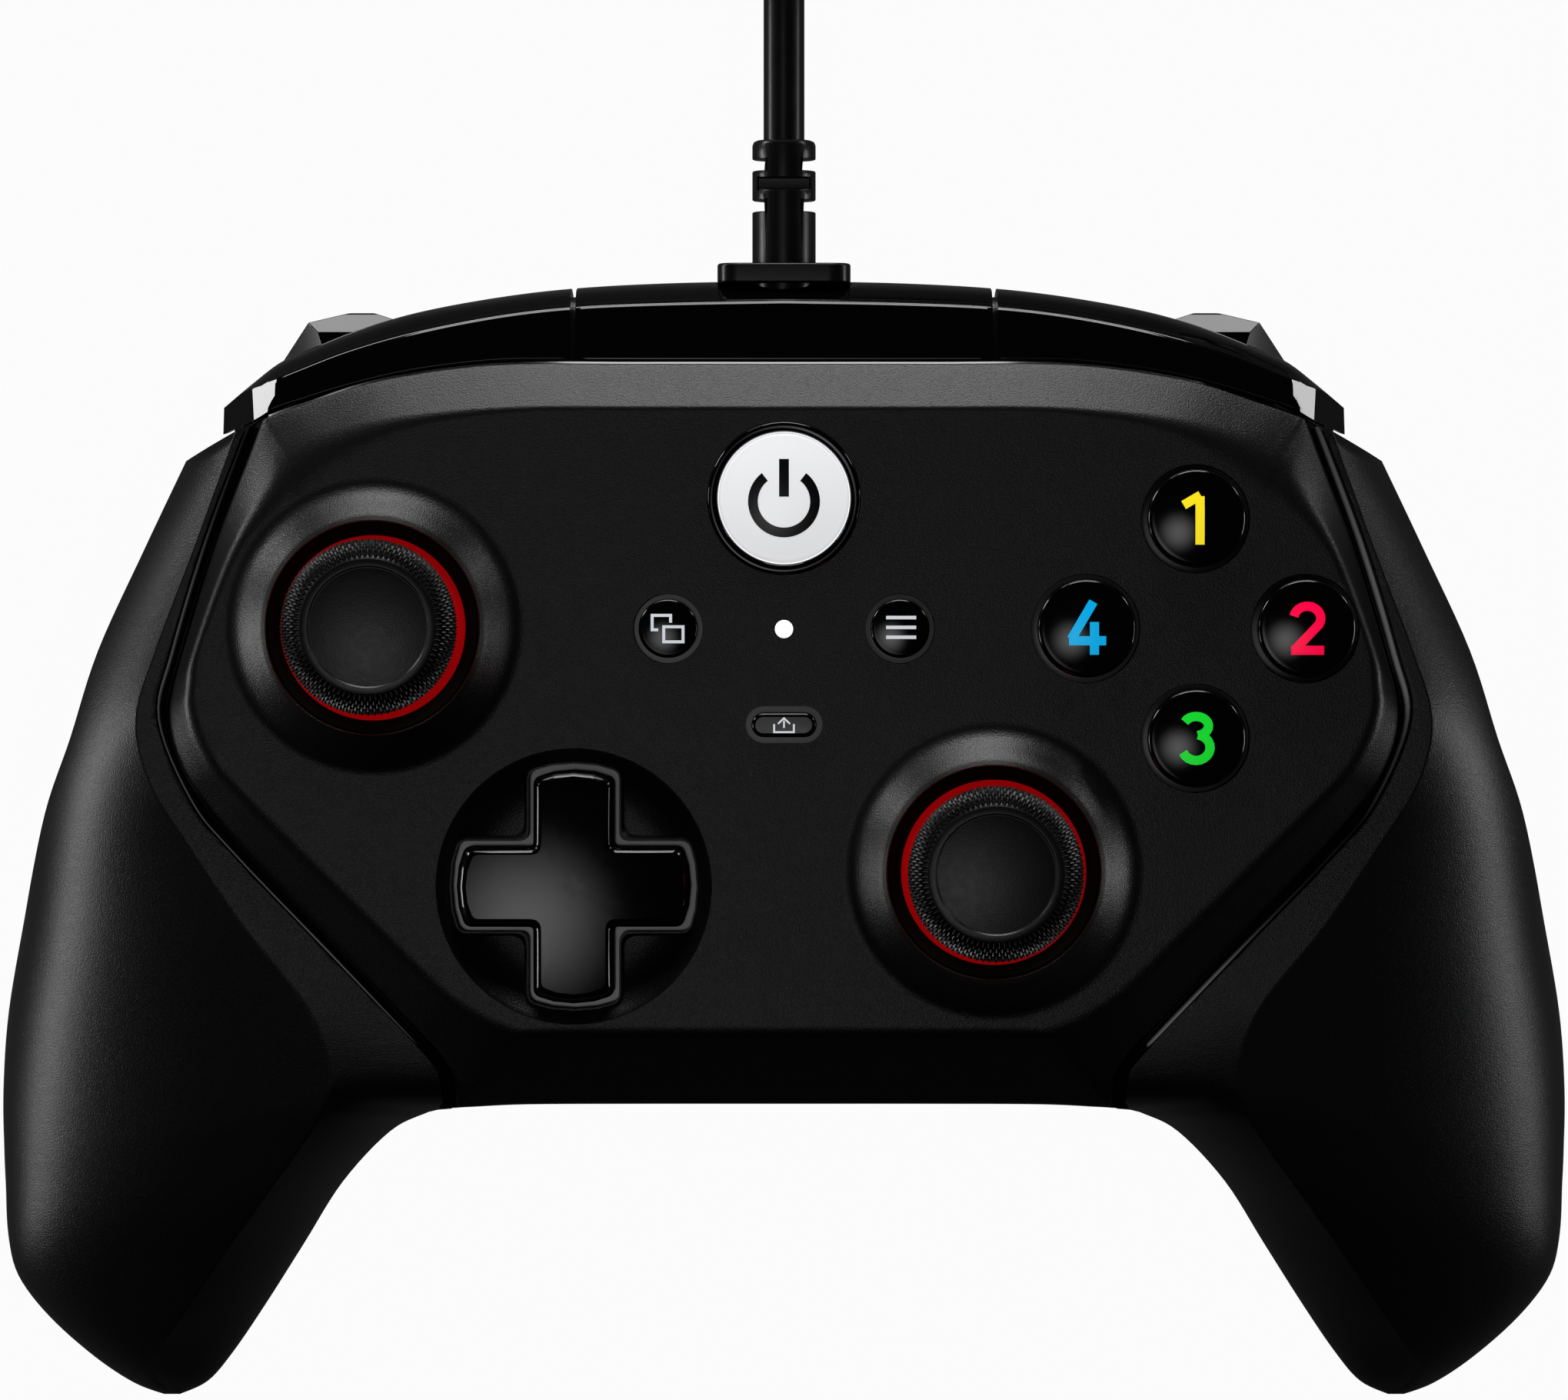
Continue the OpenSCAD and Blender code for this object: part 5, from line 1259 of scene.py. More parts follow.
@dataclass
class Symbol:
    """Flat print on a crowned key, made of outlines or a digit."""

    name: str
    finish: Finish
    body: str
    centre: tuple[float, float]
    crown: Callable[[float], float]
    lift: float = 0.025
    ink: float = 0.02

    def laid(self, obj: bpy.types.Object) -> bpy.types.Object:
        """Lay a flat mesh around the origin on the crown and dress it."""
        Bench.edit(obj)
        bpy.ops.mesh.quads_convert_to_tris()
        bpy.ops.mesh.subdivide(number_cuts=3)
        Bench.close()

        def place(p: Vector) -> Vector:
            """Put a point on the crown."""
            height = self.crown(math.hypot(p.x, p.y)) + self.lift + p.z
            return Vector((self.centre[0] + p.x, self.centre[1] + p.y, height))

        Bench.moved(obj, place)
        Bench.shade(obj, 30, weighted=False)
        return dress(obj, self.finish, Slot.WHITE, self.body)

    def digit(self, strokes: Sequence[Sequence[Point]], width: float) -> bpy.types.Object:
        """Print a digit drawn with a pen of a width, each stroke as a line of points."""
        parts = [Bench.prism(self.name, band(line, width), -self.ink, 0.0) for line in strokes]
        for part in parts[1:]:
            Bench.carve(parts[0], part, Cut.ADD)
        return self.laid(parts[0])

    def bars(self, strips: Sequence[Sequence[Point]]) -> bpy.types.Object:
        """Print strips, each an outline in plan around the key's middle."""
        parts = []
        for strip in strips:
            Bench.clear()
            bpy.ops.mesh.primitive_circle_add(vertices=len(strip), fill_type="NGON")
            part = Bench.named(self.name)
            for v, p in zip(part.data.vertices, strip):
                v.co = Vector((p[0], p[1], 0)) * MM
            parts.append(part)
        return self.laid(Bench.joined(self.name, parts))


def band(line: Sequence[Point], width: float) -> Ring:
    """Outline of a pen stroke along an open line, with mitred corners."""
    sides: tuple[Ring, Ring] = ([], [])
    for i, p in enumerate(line):
        a, b = line[max(i - 1, 0)], line[min(i + 1, len(line) - 1)]
        into = Vector(p) - Vector(a) if i else Vector(b) - Vector(p)
        away = Vector(b) - Vector(p) if i < len(line) - 1 else into
        into.normalize()
        away.normalize()
        across = Vector((-into.y - away.y, into.x + away.x)).normalized()
        reach = width / 2 / max(across.dot(Vector((-into.y, into.x))), 0.4)
        for side, s in zip(sides, (1, -1)):
            side.append((p[0] + s * reach * across.x, p[1] + s * reach * across.y))
    return sides[0] + sides[1][::-1]


def arc(centre: Point, size: Point, start: float, end: float, steps: int = 14) -> Ring:
    """Part of an ellipse between two angles in degrees, counted from the right and against the clock."""
    turns = [math.radians(start + (end - start) * k / steps) for k in range(steps + 1)]
    return [(centre[0] + size[0] * math.cos(a), centre[1] + size[1] * math.sin(a)) for a in turns]


DIGITS: tuple[tuple[Ring, ...], ...] = (
    ([(0.28, -2.55), (0.28, 2.1)], [(0.34, 2.2), (-1.3, 1.25)]),
    (arc((0, 0.95), (1.3, 1.17), 170, -30) + [(-1.25, -2.12)], [(-1.55, -2.12), (1.62, -2.12)]),
    (arc((-0.1, 1.2), (1.2, 0.92), 155, -82), arc((-0.1, -0.88), (1.35, 1.24), 82, -158)),
    ([(0.62, 2.55), (-1.5, -1.05)], [(-1.72, -1.2), (1.85, -1.2)], [(0.72, 0.6), (0.72, -2.55)]),
)


def strip(a: Point, b: Point, width: float) -> Ring:
    """Outline of a straight bar from a to b."""
    run = math.dist(a, b)
    nx, ny = -(b[1] - a[1]) / run * width / 2, (b[0] - a[0]) / run * width / 2
    return [(a[0] + nx, a[1] + ny), (a[0] - nx, a[1] - ny), (b[0] - nx, b[1] - ny), (b[0] + nx, b[1] + ny)]


def frame_bars(low: Point, high: Point, width: float) -> list[Ring]:
    """Bars of a rectangle's outline."""
    w = width / 2
    level = [strip((low[0] - w, y), (high[0] + w, y), width) for y in (low[1], high[1])]
    return level + [strip((x, low[1] + w), (x, high[1] - w), width) for x in (low[0], high[0])]


@dataclass
class Keys:
    """Face buttons, small buttons, guide button and status light."""

    face_r: float = 4.75
    face_h: float = 3.0
    small_r: float = 2.85
    small_h: float = 0.9
    guide_r: float = 6.3
    guide_h: float = 1.1
    bezel_r: float = 7.4
    bezel_gap: float = 0.1
    bezel_round: float = 0.3
    flange: float = 1.1
    flange_z: tuple[float, float] = (40.25, 41.45)
    # Drop of each crown towards its edge, and radius of that edge
    face_crown: tuple[float, float] = (0.42, 0.5)
    small_crown: tuple[float, float] = (0.18, 0.35)
    guide_crown: tuple[float, float] = (0.6, 0.4)
    face_stem: float = 2.8
    small_stem: float = 1.6
    guide_stem: float = 2.0
    share_stem: float = 1.1
    key_low_z: float = 37.1
    light_r: float = 0.88
    share_size: tuple[float, float] = (6.3, 2.4)
    pen: float = 0.88

    def crown(self, r: float, top: float, drop: float, edge: float) -> Callable[[float], float]:
        """Rule that gives the height of a crown at a radius."""
        return lambda d: top - drop * min(d / (r - edge), 1.0) ** 2

    def round_key(self, name: str, centre: Point, r: float, top: float, drop: float, edge: float,
                  stem: float) -> bpy.types.Object:
        """Model one round key with its flange and stem."""
        rule = self.crown(r, top, drop, edge)
        low, high = self.flange_z
        wide, foot = r + self.flange, self.key_low_z
        profile = [(0, foot), (stem, foot), (stem, low), (wide, low), (wide, high), (r, high)]
        profile += [(r - edge + edge * math.cos(a), top - drop - edge + edge * math.sin(a))
                    for a in (k * math.pi / 16 for k in range(8))]
        profile += [((r - edge) * k / 14, rule((r - edge) * k / 14)) for k in range(14, -1, -1)]
        return Bench.shade(Bench.turned(name, profile, centre, 96), 40)

    def face_buttons(self) -> None:
        """Build the four numbered buttons."""
        top, (drop, edge) = FACE.face_z + self.face_h, self.face_crown
        prints = (PRINT_YELLOW, PRINT_RED, PRINT_GREEN, PRINT_BLUE)
        for turn, (word, ink) in enumerate(zip(("north", "east", "south", "west"), prints)):
            centre = FACE.key_at(turn)
            key = self.round_key(f"{word}_key", centre, self.face_r, top, drop, edge, self.face_stem)
            dress(key, KEY, Slot.GLOSS, f"{word}_body", f"{word}_button")
            rule = self.crown(self.face_r, top, drop, edge)
            Symbol(f"{word}_digit", ink, f"{word}_body", centre, rule).digit(DIGITS[turn], self.pen)

    def small_buttons(self) -> None:
        """Build the view, menu and share buttons with their plain symbols."""
        top, (drop, edge) = FACE.face_z + self.small_h, self.small_crown
        rule = self.crown(self.small_r, top, drop, edge)
        signs = {
            "view": (FACE.view, frame_bars((-0.4, -1.29), (1.46, 0.16), 0.28)
                     + [strip((-1.66, 1.26), (0.4, 1.26), 0.28), strip((-1.52, 1.12), (-1.52, 0.01), 0.28),
                        strip((-1.66, -0.13), (-0.93, -0.13), 0.28),
                        strip((0.26, 1.12), (0.26, 0.56), 0.28)]),
            "menu": (FACE.menu, [strip((-1.35, y), (1.55, y), 0.33) for y in (1.05, 0.1, -0.85)]),
        }
        for word, (centre, bars) in signs.items():
            key = self.round_key(f"{word}_key", centre, self.small_r, top, drop, edge, self.small_stem)
            dress(key, KEY, Slot.GLOSS, f"{word}_body", f"{word}_button")
            Symbol(f"{word}_sign", PRINT_GREY, f"{word}_body", centre, rule).bars(bars)
        key = self.share_key()
        dress(key, KEY, Slot.GLOSS, "share_body", "share_button")
        bars = [strip((0, -0.3), (0, 0.42), 0.17), strip((-0.58, 0.1), (0.06, 0.7), 0.17),
                strip((0.58, 0.1), (0.06, 0.58), 0.17), strip((-1.04, -0.7), (1.04, -0.7), 0.18),
                strip((-0.95, -0.61), (-0.95, 0.08), 0.18), strip((0.95, -0.61), (0.95, 0.08), 0.18)]
        Symbol("share_sign", PRINT_GREY, "share_body", FACE.share, lambda d: top).bars(bars)

    def share_key(self) -> bpy.types.Object:
        """Model the long share key."""
        length, width = self.share_size
        top, (low, high), foot = FACE.face_z + self.small_h, self.flange_z, self.key_low_z
        sides = ((1, low), (1, high), (0, high), (0, top - 0.4), (-0.08, top - 0.16),
                 (-0.24, top - 0.04), (-0.45, top))
        rings = [[(*p, z) for p in stadium(FACE.share, length + 2 * grow, width + 2 * grow)]
                 for grow, z in sides]
        key = Bench.loft("share_key", rings)
        r, join = self.share_stem, low + 0.2
        stem = Bench.turned("stem", [(0, foot), (r, foot), (r, join), (0, join)], FACE.share, 24)
        return Bench.shade(Bench.joined("share_key", [key, stem]), 40)

    def guide(self) -> None:
        """Build the guide button, its bezel and a plain power symbol."""
        top, (drop, edge) = FACE.face_z + self.guide_h, self.guide_crown
        key = self.round_key("guide_key", FACE.guide, self.guide_r, top, drop, edge, self.guide_stem)
        dress(key, WHITE, Slot.WHITE, "guide_body", "guide_button")
        rule = self.crown(self.guide_r, top, drop, edge)
        gap, r, w = math.radians(38), 3.0, 0.95
        sweep = [gap + (FULL_TURN - 2 * gap) * k / 40 for k in range(41)]
        outer, inner = ([(rr * math.sin(a), rr * math.cos(a) - 0.35) for a in sweep]
                        for rr in (r + w / 2, r - w / 2))
        pieces = [[outer[k], outer[k + 1], inner[k + 1], inner[k]] for k in range(40)]
        Symbol("guide_sign", INK, "guide_body", FACE.guide, rule).bars(
            pieces + [strip((0, 0.1), (0, 3.75), w)])
        bore, rim, bend, z = self.guide_r + self.bezel_gap, self.bezel_r, self.bezel_round, FACE.face_z
        line = [(bore, z - 1), (rim, z - 1), (rim, z + 0.05)]
        line += [(rim - bend + bend * math.cos(a), z + 0.2 + bend * math.sin(a)) for a in turns(20)[1:6]]
        line += [(bore + 0.25, z + 0.5), (bore + 0.08, z + 0.42), (bore, z + 0.25)]
        bezel = Bench.shade(Bench.turned("guide_ring", line, FACE.guide, 96), 40)
        dress(bezel, GLOSS, Slot.GLOSS, HOUSING, "guide_bezel")

    def status(self) -> None:
        """Build the status light."""
        z, r, low = FACE.face_z, self.light_r, FACE.plate_low_z
        profile = [(0, low - 1.2), (r + 0.6, low - 1.2), (r + 0.6, low), (r, low), (r, z - 0.05),
                   (r - 0.1, z + 0.06),
                   (r - 0.3, z + 0.1), (0, z + 0.12)]
        lens = Bench.shade(Bench.turned("status_lens", profile, FACE.light, 32), 40)
        dress(lens, LAMP_WHITE, Slot.WHITE, HOUSING, "status_light")

    def make(self) -> None:
        """Build and dress all keys."""
        self.face_buttons()
        self.small_buttons()
        self.guide()
        self.status()


@dataclass
class Sticks:
    """Thumbsticks: slip rings, red skirts and knurled caps."""

    pivot_z: float = 36.5
    skirt_r: float = 12.6
    skirt_t: float = 1.2
    skirt_turn: float = 64.0
    ring_r: tuple[float, float] = (8.92, 10.15)
    ring_z: tuple[float, float] = (45.75, 46.9)
    cap_r: float = 8.4
    cap_low_z: float = 51.6
    cap_top_z: float = 57.0
    neck_r: float = 3.0
    teeth: int = 84
    tooth: float = 0.34
    row: float = 0.95

    def ring(self, name: str, centre: Point) -> bpy.types.Object:
        """Model a slip ring."""
        (r0, r1), (z0, z1) = self.ring_r, self.ring_z
        profile = [(r0, z0), (r1, z0), (r1, z1 - 0.1), (r1 - 0.1, z1), (r1 - 0.2, z1 - 0.02),
                   (r0 + 0.12, z0 + 0.3),
                   (r0, z0 + 0.16)]
        return Bench.shade(Bench.turned(name, profile, centre, 128), 40)

    def skirt(self, name: str, centre: Point) -> bpy.types.Object:
        """Model the red skirt with its post and neck."""
        z, r, t = self.pivot_z, self.skirt_r, self.skirt_t
        sweep = [math.radians(self.skirt_turn) * k / 24 for k in range(25)]
        neck_top = self.cap_low_z + 1.6
        profile = [(0, z - 2.2), (1.5, z - 2.2), (1.5, z + 2.5), (2.4, z + 2.5), (2.4, z + r - t - 0.25)]
        profile += [((r - t) * math.sin(a), z + (r - t) * math.cos(a))
                    for a in sweep if (r - t) * math.sin(a) > 2.5]
        profile += [(r * math.sin(a), z + r * math.cos(a))
                    for a in reversed(sweep) if r * math.sin(a) > self.neck_r]
        profile += [(self.neck_r, z + r - 0.2), (self.neck_r, neck_top), (0, neck_top)]
        return Bench.shade(Bench.turned(name, profile, centre, 128), 40)

    def cap(self, name: str, centre: Point) -> bpy.types.Object:
        """Model a cap with a diamond knurl on its rim and a thumb rest set into it."""
        low, top, r = self.cap_low_z, self.cap_top_z, self.cap_r
        plain = [(self.neck_r + 0.02, low + 1.6), (self.neck_r + 0.02, low), (5.6, low), (6.6, low + 0.35)]
        side = [(7.2, low + 1.0), (8.0, low + 2.0), (r - 0.08, low + 2.8), (r - 0.08, top - 2.2),
                (r - 0.35, top - 1.5),
                (r - 0.85, top - 0.84), (r - 1.35, top - 0.42), (6.7, top - 0.23), (6.5, top - 0.24)]
        band = self.even(spline(side, 12))
        rest = [(6.4, top - 0.2), (5.82, top - 0.2), (5.68, top - 0.3), (5.67, top - 0.6), (5.61, top - 0.6)]
        rest += [(5.6 * k / 8, top - 0.1 - 0.3 * (k / 8) ** 2) for k in range(8, -1, -1)]
        line = plain + band + rest
        first, last = len(plain), len(plain) + len(band)
        count = 2 * self.teeth
        rings, lifts = [], []
        for k in range(count):
            angle = FULL_TURN * k / count
            ring = []
            for i, (rr, z) in enumerate(line):
                lift = 0.0
                if first < i < last - 1:
                    j = i - first
                    lift = self.tooth * (0.5 if (j + k) % 2 else -0.5)
                    a, b = band[j - 1], band[j + 1]
                    run = math.dist(a, b)
                    rr, z = rr + lift * (b[1] - a[1]) / run, z - lift * (b[0] - a[0]) / run
                lifts.append(lift)
                ring.append((centre[0] + rr * math.cos(angle), centre[1] + rr * math.sin(angle), z))
            rings.append(ring)
        return Bench.shade(self.knurled(name, rings, lifts), 24, weighted=False)

    def even(self, line: Ring) -> Ring:
        """Line walked in equal steps of half a knurl row."""
        runs = [0.0]
        for a, b in zip(line, line[1:]):
            runs.append(runs[-1] + math.dist(a, b))
        count = round(runs[-1] / (self.row / 2))
        walked = []
        for k in range(count + 1):
            at = runs[-1] * k / count
            i = max(j for j in range(len(line) - 1) if runs[j] <= at + 1e-9)
            walked.append(mixed(line[i], line[i + 1], (at - runs[i]) / (runs[i + 1] - runs[i])))
        return walked

    def knurled(self, name: str, rings: list[Ring], lifts: list[float]) -> bpy.types.Object:
        """Skin of the cap, folded along the valleys of its knurl.

        Args:
            name: Name of the new object.
            rings: Profiles around the axis.
            lifts: How far each point is raised, in the order of the rings.

        Returns:
            The new object.
        """
        across, along = len(rings[0]) - 1, len(rings)
        Bench.clear()
        bpy.ops.mesh.primitive_grid_add(x_subdivisions=across, y_subdivisions=along, size=2)
        obj = Bench.named(name)
        raised = []
        for v in obj.data.vertices:
            i, j = round((v.co.x + 1) / 2 * across), round((v.co.y + 1) / 2 * along)
            v.co = Vector(rings[j % along][i]) * MM
            raised.append(lifts[(j % along) * (across + 1) + i])
        for method, sign in (("FIXED", 1), ("FIXED_ALTERNATE", -1)):
            mesh = Bench.edit(obj)
            for face in mesh.faces:
                turn = [raised[v.index] for v in face.verts]
                face.select_set(len(turn) == 4 and sign * (turn[1] + turn[3] - turn[0] - turn[2]) > 0)
            bmesh.update_edit_mesh(obj.data)
            bpy.ops.mesh.quads_convert_to_tris(quad_method=method)
            bpy.ops.object.mode_set(mode="OBJECT")
        Bench.edit(obj)
        bpy.ops.mesh.remove_doubles(threshold=0.0005 * MM)
        bpy.ops.mesh.fill_holes(sides=0)
        Bench.close(0.0002)
        return obj

    def make(self) -> None:
        """Build and dress both sticks."""
        for side, centre in ((Side.LEFT, FACE.left_stick), (Side.RIGHT, FACE.right_stick)):
            word, body = side.word, f"{side.word}_stick_body"
            dress(self.ring(f"{word}_slip_ring", centre), RING, Slot.GLOSS, HOUSING, f"{word}_stick_ring")
            dress(self.skirt(f"{word}_skirt", centre), RED, Slot.RED, body, f"{word}_stick_post")
            dress(self.cap(f"{word}_thumb_cap", centre), CAP, Slot.SOFT, body, f"{word}_stick_cap")


# Cable

@dataclass
class Cable:
    """Cable with its strain relief, coil, tie and plug."""

    diameter: float = 4.0
    sleeve_d: float = 6.2
    z: float = 33.0
    sleeve_end: float = 68.5
    lead: tuple[tuple[float, float, float], ...] = (
        (0, 68.5, 33), (0, 72.5, 33), (0, 78, 33), (0, 84, 32.9), (0, 91, 32), (0, 98, 29.8), (0, 105, 26.2),
        (0, 112, 21.4), (0, 119, 15.8), (0, 126, 10.2), (0, 133, 5.7), (0, 139, 3.4), (0, 145, 2.6),
        (0, 150, 2.5),
        (0, 154, 2.5), (0, 158, 2.5))
    coil_r: float = 33.0
    coil_y: float = 162.0
    pitch: float = 4.5
    layers: int = 4
    loops: float = 16.5
    rings: int = 24
    low_z: float = 2.5
    tail: tuple[tuple[float, float, float], ...] = (
        (66, 158, 16), (66, 155, 16), (66, 151, 15.3), (66, 146.5, 13.2), (66, 142, 10.2), (66, 137.5, 7.2),
        (66, 133, 5.1), (66, 128.5, 4.1), (66, 125, 4), (66, 121, 4))
    tie_w: float = 6.0
    plug_y: float = 121.0
    plug_z: float = 4.0
    # Radius of the far plug's collar, and place before the cable's end
    collar_line: tuple[tuple[float, float], ...] = (
        (3.6, 7.0), (3.4, 5.0), (3.0, 3.4), (3.0, 2.6), (2.7, 2.4), (2.7, 1.6), (2.9, 1.4),
        (2.9, 0.3), (2.6, 0.0))

    def coil(self) -> Ring:
        """Points of the coil: it spirals in and out, and climbs a layer at each turning point."""
        per_layer = self.loops / self.layers
        out = []
        for i in range(int(self.loops * self.rings) + 1):
            loops = i / self.rings
            layer = int(loops / per_layer)
            part = loops / per_layer - layer
            share = part if layer % 2 == 0 else 1 - part
            near = round(loops / per_layer)
            past = loops - near * per_layer
            climb = 0.0 if near == 0 else self.layers - 1.0
            if 0 < near < self.layers:
                climb = near - 1 + min(max((past + 0.25) / 0.5, 0), 1)
            r = self.coil_r - share * per_layer * self.pitch
            a = math.pi - FULL_TURN * loops
            out.append((self.coil_r + r * math.cos(a), self.coil_y + r * math.sin(a),
                        self.low_z + self.pitch * climb))
        return out

    def route(self) -> Ring:
        """Centre line of the whole cable."""
        return spline(self.lead, 3) + self.coil() + spline(self.tail, 3)

    def cord(self) -> bpy.types.Object:
        """Model the cable as one curve."""
        points = self.route()
        Bench.clear()
        data = bpy.data.curves.new("cable_cord", "CURVE")
        data.dimensions = "3D"
        line = data.splines.new("POLY")
        line.points.add(len(points) - 1)
        for slot, p in zip(line.points, points):
            slot.co = (*(c * MM for c in p), 1)
        data.bevel_depth = self.diameter / 2 * MM
        data.bevel_resolution = 5
        data.use_fill_caps = True
        cord = bpy.data.objects.new("cable_cord", data)
        bpy.context.scene.collection.objects.link(cord)
        return cord

    def across(self, name: str, profile: Sequence[Point], steps: int = 64) -> bpy.types.Object:
        """Round piece on the cable's line: profile gives radius and place along Y."""
        return Bench.rod(name, (0, self.z), profile, steps)

    def sleeve(self) -> bpy.types.Object:
        """Model the plug's flange and its slotted sleeve."""
        r, end = self.sleeve_d / 2, self.sleeve_end
        line = [(r, 50.7), (r, 53.1), (r - 0.22, 53.35), (r - 0.22, 53.6), (r, 53.8), (r, 56.7),
                (r, end - 0.5),
                (r - 0.15, end - 0.15), (r - 0.5, end)]
        sleeve = self.across("cable_sleeve", line)
        for y0, y1, turned in ((61.5, 62.6, False), (63.6, 64.8, True), (65.5, 66.6, False)):
            for s in (-1, 1):
                slot = (1.75, 5.0) if s > 0 else (-5.0, -1.75)
                wide, tall = ((-4, 4), slot) if turned else (slot, (-4, 4))
                Bench.carve(sleeve, Bench.box("hole", *((x, y, self.z + z)
                                                        for x, y, z in zip(wide, (y0, y1), tall))))
        Bench.soften(sleeve, 0.16, 2, 45)
        flange = [(x, z + self.z)
                  for x, z in rounded([(-6.5, -3.8), (6.5, -3.8), (6.5, 3.8), (-6.5, 3.8)], 2.2, 6)]
        plate = Bench.loft("flange", [[(x, y, z) for x, z in flange] for y in (54.45, 56.4)])
        Bench.soften(plate, 0.25, 3, 50)
        tongue = Bench.box("tongue", (-4.1, 45.9, self.z - 1.2), (4.1, 50.9, self.z + 1.2))
        return Bench.shade(Bench.joined("cable_sleeve", [sleeve, plate, tongue]), 40)

    def tie(self) -> bpy.types.Object:
        """Model the tie around the coil's far side."""
        inner = self.coil_r - self.loops / self.layers * self.pitch
        top = self.low_z + (self.layers - 1) * self.pitch
        rise = self.diameter / 2 + 0.02
        y0, y1 = self.coil_y + inner - rise, self.coil_y + self.coil_r + rise
        z0, z1 = self.low_z - rise, top + rise
        rings = []
        for grow in (0.0, 0.55):
            low, high = max(z0 - grow, 0.02), z1 + grow - 0.3 * (grow > 0)
            rings.append(rounded([(y0 - grow, low), (y1 + grow, low), (y1 + grow, high),
                                  (y0 - grow, high)], 2.4, 5))
        x0, x1 = self.coil_r - self.tie_w / 2, self.coil_r + self.tie_w / 2
        order = ((rings[0], x0), (rings[1], x0), (rings[1], x1), (rings[0], x1))
        loops = [[(x, y, z) for y, z in ring] for ring, x in order]
        tie = Bench.loft("cable_band", loops, caps=False, closed=True)
        return Bench.shade(tie, 40)

    def plug(self) -> tuple[bpy.types.Object, bpy.types.Object]:
        """Model the far plug's grip and its metal shell."""
        x, y, z = 2 * self.coil_r, self.plug_y, self.plug_z
        grip = Bench.box("plug_grip", (x - 7.6, y - 22, 0.0), (x + 7.6, y - 6, z + 4))
        Bench.soften(grip, 1.4, 4, 40)
        collar = Bench.rod("collar", (x, z), [(r, y - back) for r, back in self.collar_line], 40)
        for side, start in ((x + s * 7.6, y - 19 + 2 * k) for s in (-1, 1) for k in range(5)):
            Bench.carve(grip, Bench.box("dent", (side - 0.5, start, -1), (side + 0.5, start + 0.9, z + 5)))
        shell = Bench.box("plug_shell", (x - 6, y - 34, z - 2.25), (x + 6, y - 21.5, z + 2.25))
        Bench.carve(shell, Bench.box("hole", (x - 5.65, y - 35, z - 1.9), (x + 5.65, y - 24, z + 1.9)))
        Bench.carve(shell, Bench.box("tongue", (x - 5.6, y - 33.6, z - 1.0), (x + 5.6, y - 23, z + 1.0)),
                    Cut.ADD)
        for mid in (x - 2.9, x + 2.9):
            Bench.carve(shell, Bench.box("hole", (mid - 1.1, y - 29.5, z + 1.2),
                                         (mid + 1.1, y - 27.3, z + 4)))
        Bench.soften(shell, 0.12, 2, 50)
        Bench.shade(shell, 40)
        return Bench.shade(Bench.joined("plug_grip", [grip, collar]), 40), shell

    def make(self) -> None:
        cord = dress(self.cord(), SHEATH, Slot.CABLE, HOUSING, "cable_lead", "cable_coil", "cable_tail")
        dress(self.sleeve(), SATIN, Slot.CABLE, HOUSING, "cable_plug")
        band = dress(self.tie(), SATIN, Slot.CABLE, HOUSING, "cable_tie")
        grip, shell = self.plug()
        dress(grip, SATIN, Slot.CABLE, HOUSING, "usb_plug")
        dress(shell, STEEL, Slot.STEEL, HOUSING)
        points = self.route()


# Inner pieces that stay as they are

INNER_FINISHES: dict[str, Finish] = {
    "mid_frame": INNER, "main_board": SOLDER_MASK,
    "button_membrane": SILICONE, "pad_membrane": SILICONE, "pad_mount": INNER, "pad_carrier": INNER,
    "left_stick_module": INNER, "right_stick_module": INNER,
    "left_stick_yoke": INNER, "right_stick_yoke": INNER,
    "left_stick_cradle": INNER, "right_stick_cradle": INNER, "usb_socket": STEEL,
    "housing_screws": STEEL, "trigger_pins": STEEL, "bumper_pins": STEEL, "bumper_switches": INNER,
    "left_rumble_motor": STEEL, "right_rumble_motor": STEEL,
    "left_rumble_weight": STEEL, "right_rumble_weight": STEEL,
}


def dress_inner() -> None:
    """Give the pieces that stay as the part has them their finishes."""
    for name, finish in INNER_FINISHES.items():
        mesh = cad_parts[name].data
        mesh.materials.clear()
        mesh.materials.append(finish.material())


# Studio

@dataclass(frozen=True)
class Lamp:
    """Soft box: place and aim in millimetres, size in millimetres, power in watts."""

    name: str
    place: tuple[float, float, float]
    aim: tuple[float, float, float]
    size: tuple[float, float]
    power: float

    def hang(self) -> None:
        """Add the lamp to the scene."""
        Bench.clear()
        bpy.ops.object.light_add(type="AREA", location=Vector(self.place) * MM)
        lamp = bpy.context.object
        lamp.name = self.name
        lamp.data.shape = "RECTANGLE"
        lamp.data.size, lamp.data.size_y = (s * MM for s in self.size)
        lamp.data.energy = self.power
        lamp.rotation_euler = (Vector(self.aim) - Vector(self.place)).to_track_quat("-Z", "Y").to_euler()


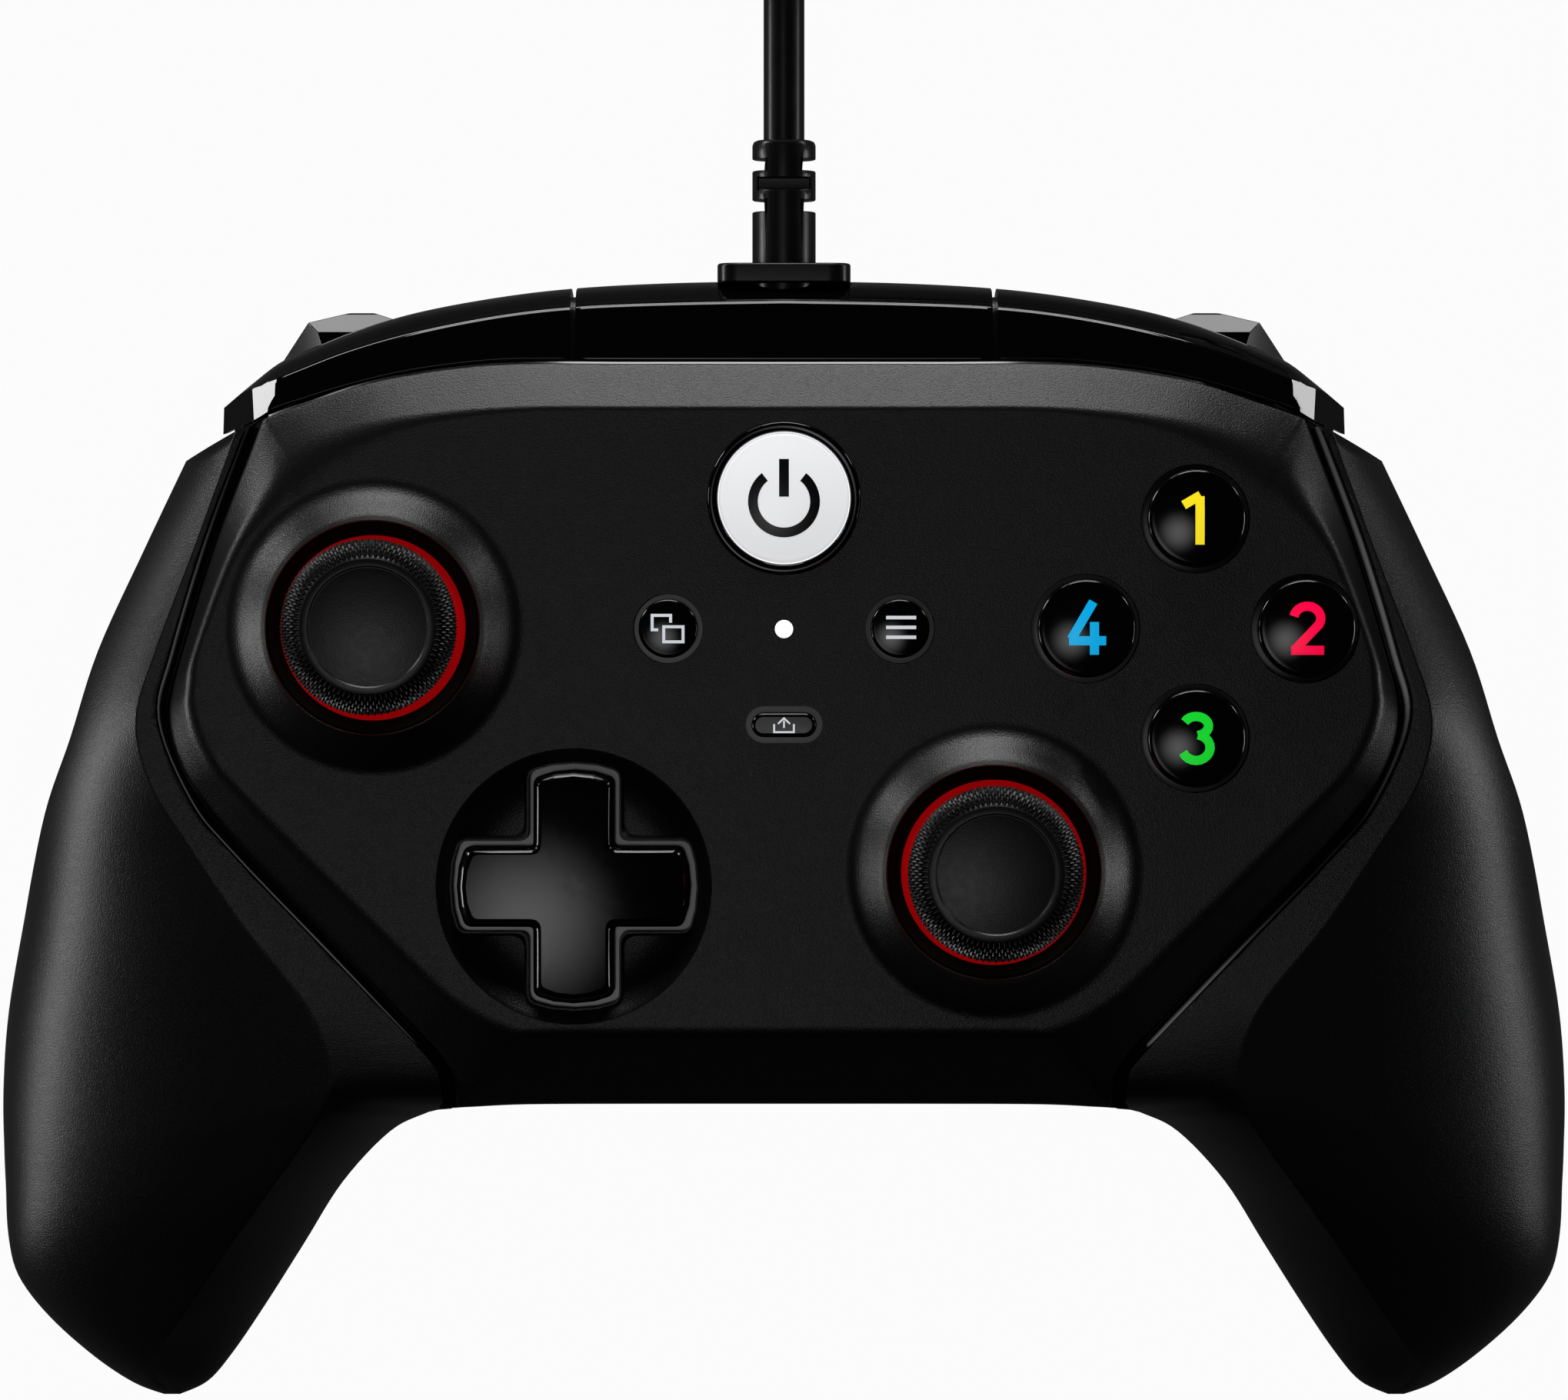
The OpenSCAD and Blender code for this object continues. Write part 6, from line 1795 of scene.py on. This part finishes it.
@dataclass(frozen=True)
class Glow:
    """Round overhead light whose brightness fades to its edge."""

    name: str = "overhead_glow"
    place: tuple[float, float, float] = (-85.0, -78.0, 1040.0)
    aim: tuple[float, float, float] = (0.0, 10.0, 40.0)
    radius: float = 215.0
    strength: float = 2.25

    def hang(self) -> None:
        """Add the light as a glowing disc that belongs to the studio."""
        Bench.clear()
        turn = (Vector(self.aim) - Vector(self.place)).to_track_quat("-Z", "Y").to_euler()
        bpy.ops.mesh.primitive_circle_add(vertices=64, radius=self.radius * MM, fill_type="NGON",
                                          location=Vector(self.place) * MM, rotation=turn)
        disc = Bench.named(self.name)
        recipe = Recipe(self.name)
        far = recipe.node("ShaderNodeVectorMath", {"operation": "LENGTH"}, {0: recipe.place()}, "Value")
        share = recipe.node("ShaderNodeMapRange", {"interpolation_type": "SMOOTHSTEP"},
                            {"Value": far, "From Min": 0.0, "From Max": self.radius * MM,
                             "To Min": 1.0, "To Max": 0.0})
        light = recipe.node("ShaderNodeEmission", sockets={
            "Color": recipe.tint(share, (0, 0, 0), (1, 1, 1)), "Strength": self.strength})
        recipe.tree.links.new(light.socket, recipe.out.inputs["Surface"])
        disc.data.materials.append(recipe.material)


@dataclass
class Studio:
    """Camera, floor, world and lamps."""

    camera_at: tuple[float, float, float] = (0.0, VIEW_Y, 870.0)
    lens: float = 196.4
    floor_half: float = 6.0
    floor_colour: tuple[float, float, float] = (0.1, 0.1, 0.1)
    floor_white: float = 0.97
    floor_mirror: float = 0.03
    world_strength: float = 0.008
    lamps: tuple[Lamp, ...] = (
        Lamp("left_box", (-640, -20, 62), (-60, 0, 25), (320, 100), 1.05),
        Lamp("right_box", (640, -20, 62), (60, 0, 25), (260, 100), 0.62),
        Lamp("back_box", (0, 720, 265), (0, 40, 40), (400, 170), 1.5),
        Lamp("back_strip", (-50, 720, 112), (0, 40, 44), (600, 50), 1.1),
        Lamp("left_corner", (-587, 405, 150), (-30, 15, 42), (150, 110), 0.85),
        Lamp("right_corner", (587, 405, 150), (30, 15, 42), (110, 90), 0.36),
    )

    def camera(self) -> None:
        """Add the camera, which looks straight down at the face."""
        Bench.clear()
        bpy.ops.object.camera_add(location=Vector(self.camera_at) * MM, rotation=(0, 0, 0))
        camera = bpy.context.object
        camera.data.lens = self.lens
        camera.data.sensor_fit = "HORIZONTAL"
        camera.data.sensor_width = 36.0
        camera.data.clip_start = 0.01
        camera.data.clip_end = 50.0
        bpy.context.scene.camera = camera

    def floor(self) -> None:
        """Add the pale floor, which the camera sees as almost white."""
        Bench.clear()
        bpy.ops.mesh.primitive_plane_add(size=2 * self.floor_half, location=(0, 0, 0))
        floor = Bench.named("studio_floor")
        recipe = Recipe("floor_pale")
        matte = recipe.node("ShaderNodeBsdfDiffuse", sockets={"Color": (*self.floor_colour, 1)})
        bright = recipe.node("ShaderNodeEmission", sockets={"Color": (1, 1, 1, 1), "Strength": 1.0})
        seen = recipe.node("ShaderNodeLightPath", output="Is Camera Ray")
        mirrored = recipe.node("ShaderNodeLightPath", output="Is Glossy Ray") + recipe.node(
            "ShaderNodeLightPath", output="Is Transmission Ray")
        surface = recipe.tree.nodes.new("ShaderNodeMixShader")
        for slot, value in zip(surface.inputs,
                               (seen * self.floor_white + mirrored * self.floor_mirror, matte, bright)):
            recipe.tree.links.new(value.socket, slot)
        recipe.tree.links.new(surface.outputs[0], recipe.out.inputs["Surface"])
        floor.data.materials.append(recipe.material)

    def world(self) -> None:
        """Set a dim, even world."""
        world = bpy.data.worlds.new("studio_world")
        world.use_nodes = True
        sky = world.node_tree.nodes["Background"]
        sky.inputs["Color"].default_value = (1, 1, 1, 1)
        sky.inputs["Strength"].default_value = self.world_strength
        bpy.context.scene.world = world
        bpy.context.scene.view_settings.view_transform = "Standard"

    def light(self) -> None:
        """Hang the lamps."""
        for lamp in self.lamps:
            lamp.hang()
        Glow().hang()


def main() -> None:
    """Build the studio and the controller in order."""
    logging.basicConfig(level=logging.INFO, format="%(name)s: %(message)s")
    studio = Studio()
    studio.camera()
    Cable().make()
    FrontShell().make()
    Pad().make()
    SeamTrim().make()
    Horns().make()
    Shoulders().make()
    Keys().make()
    Sticks().make()
    dress_inner()
    studio.floor()
    studio.world()
    studio.light()


if __name__ == "__main__":
    main()
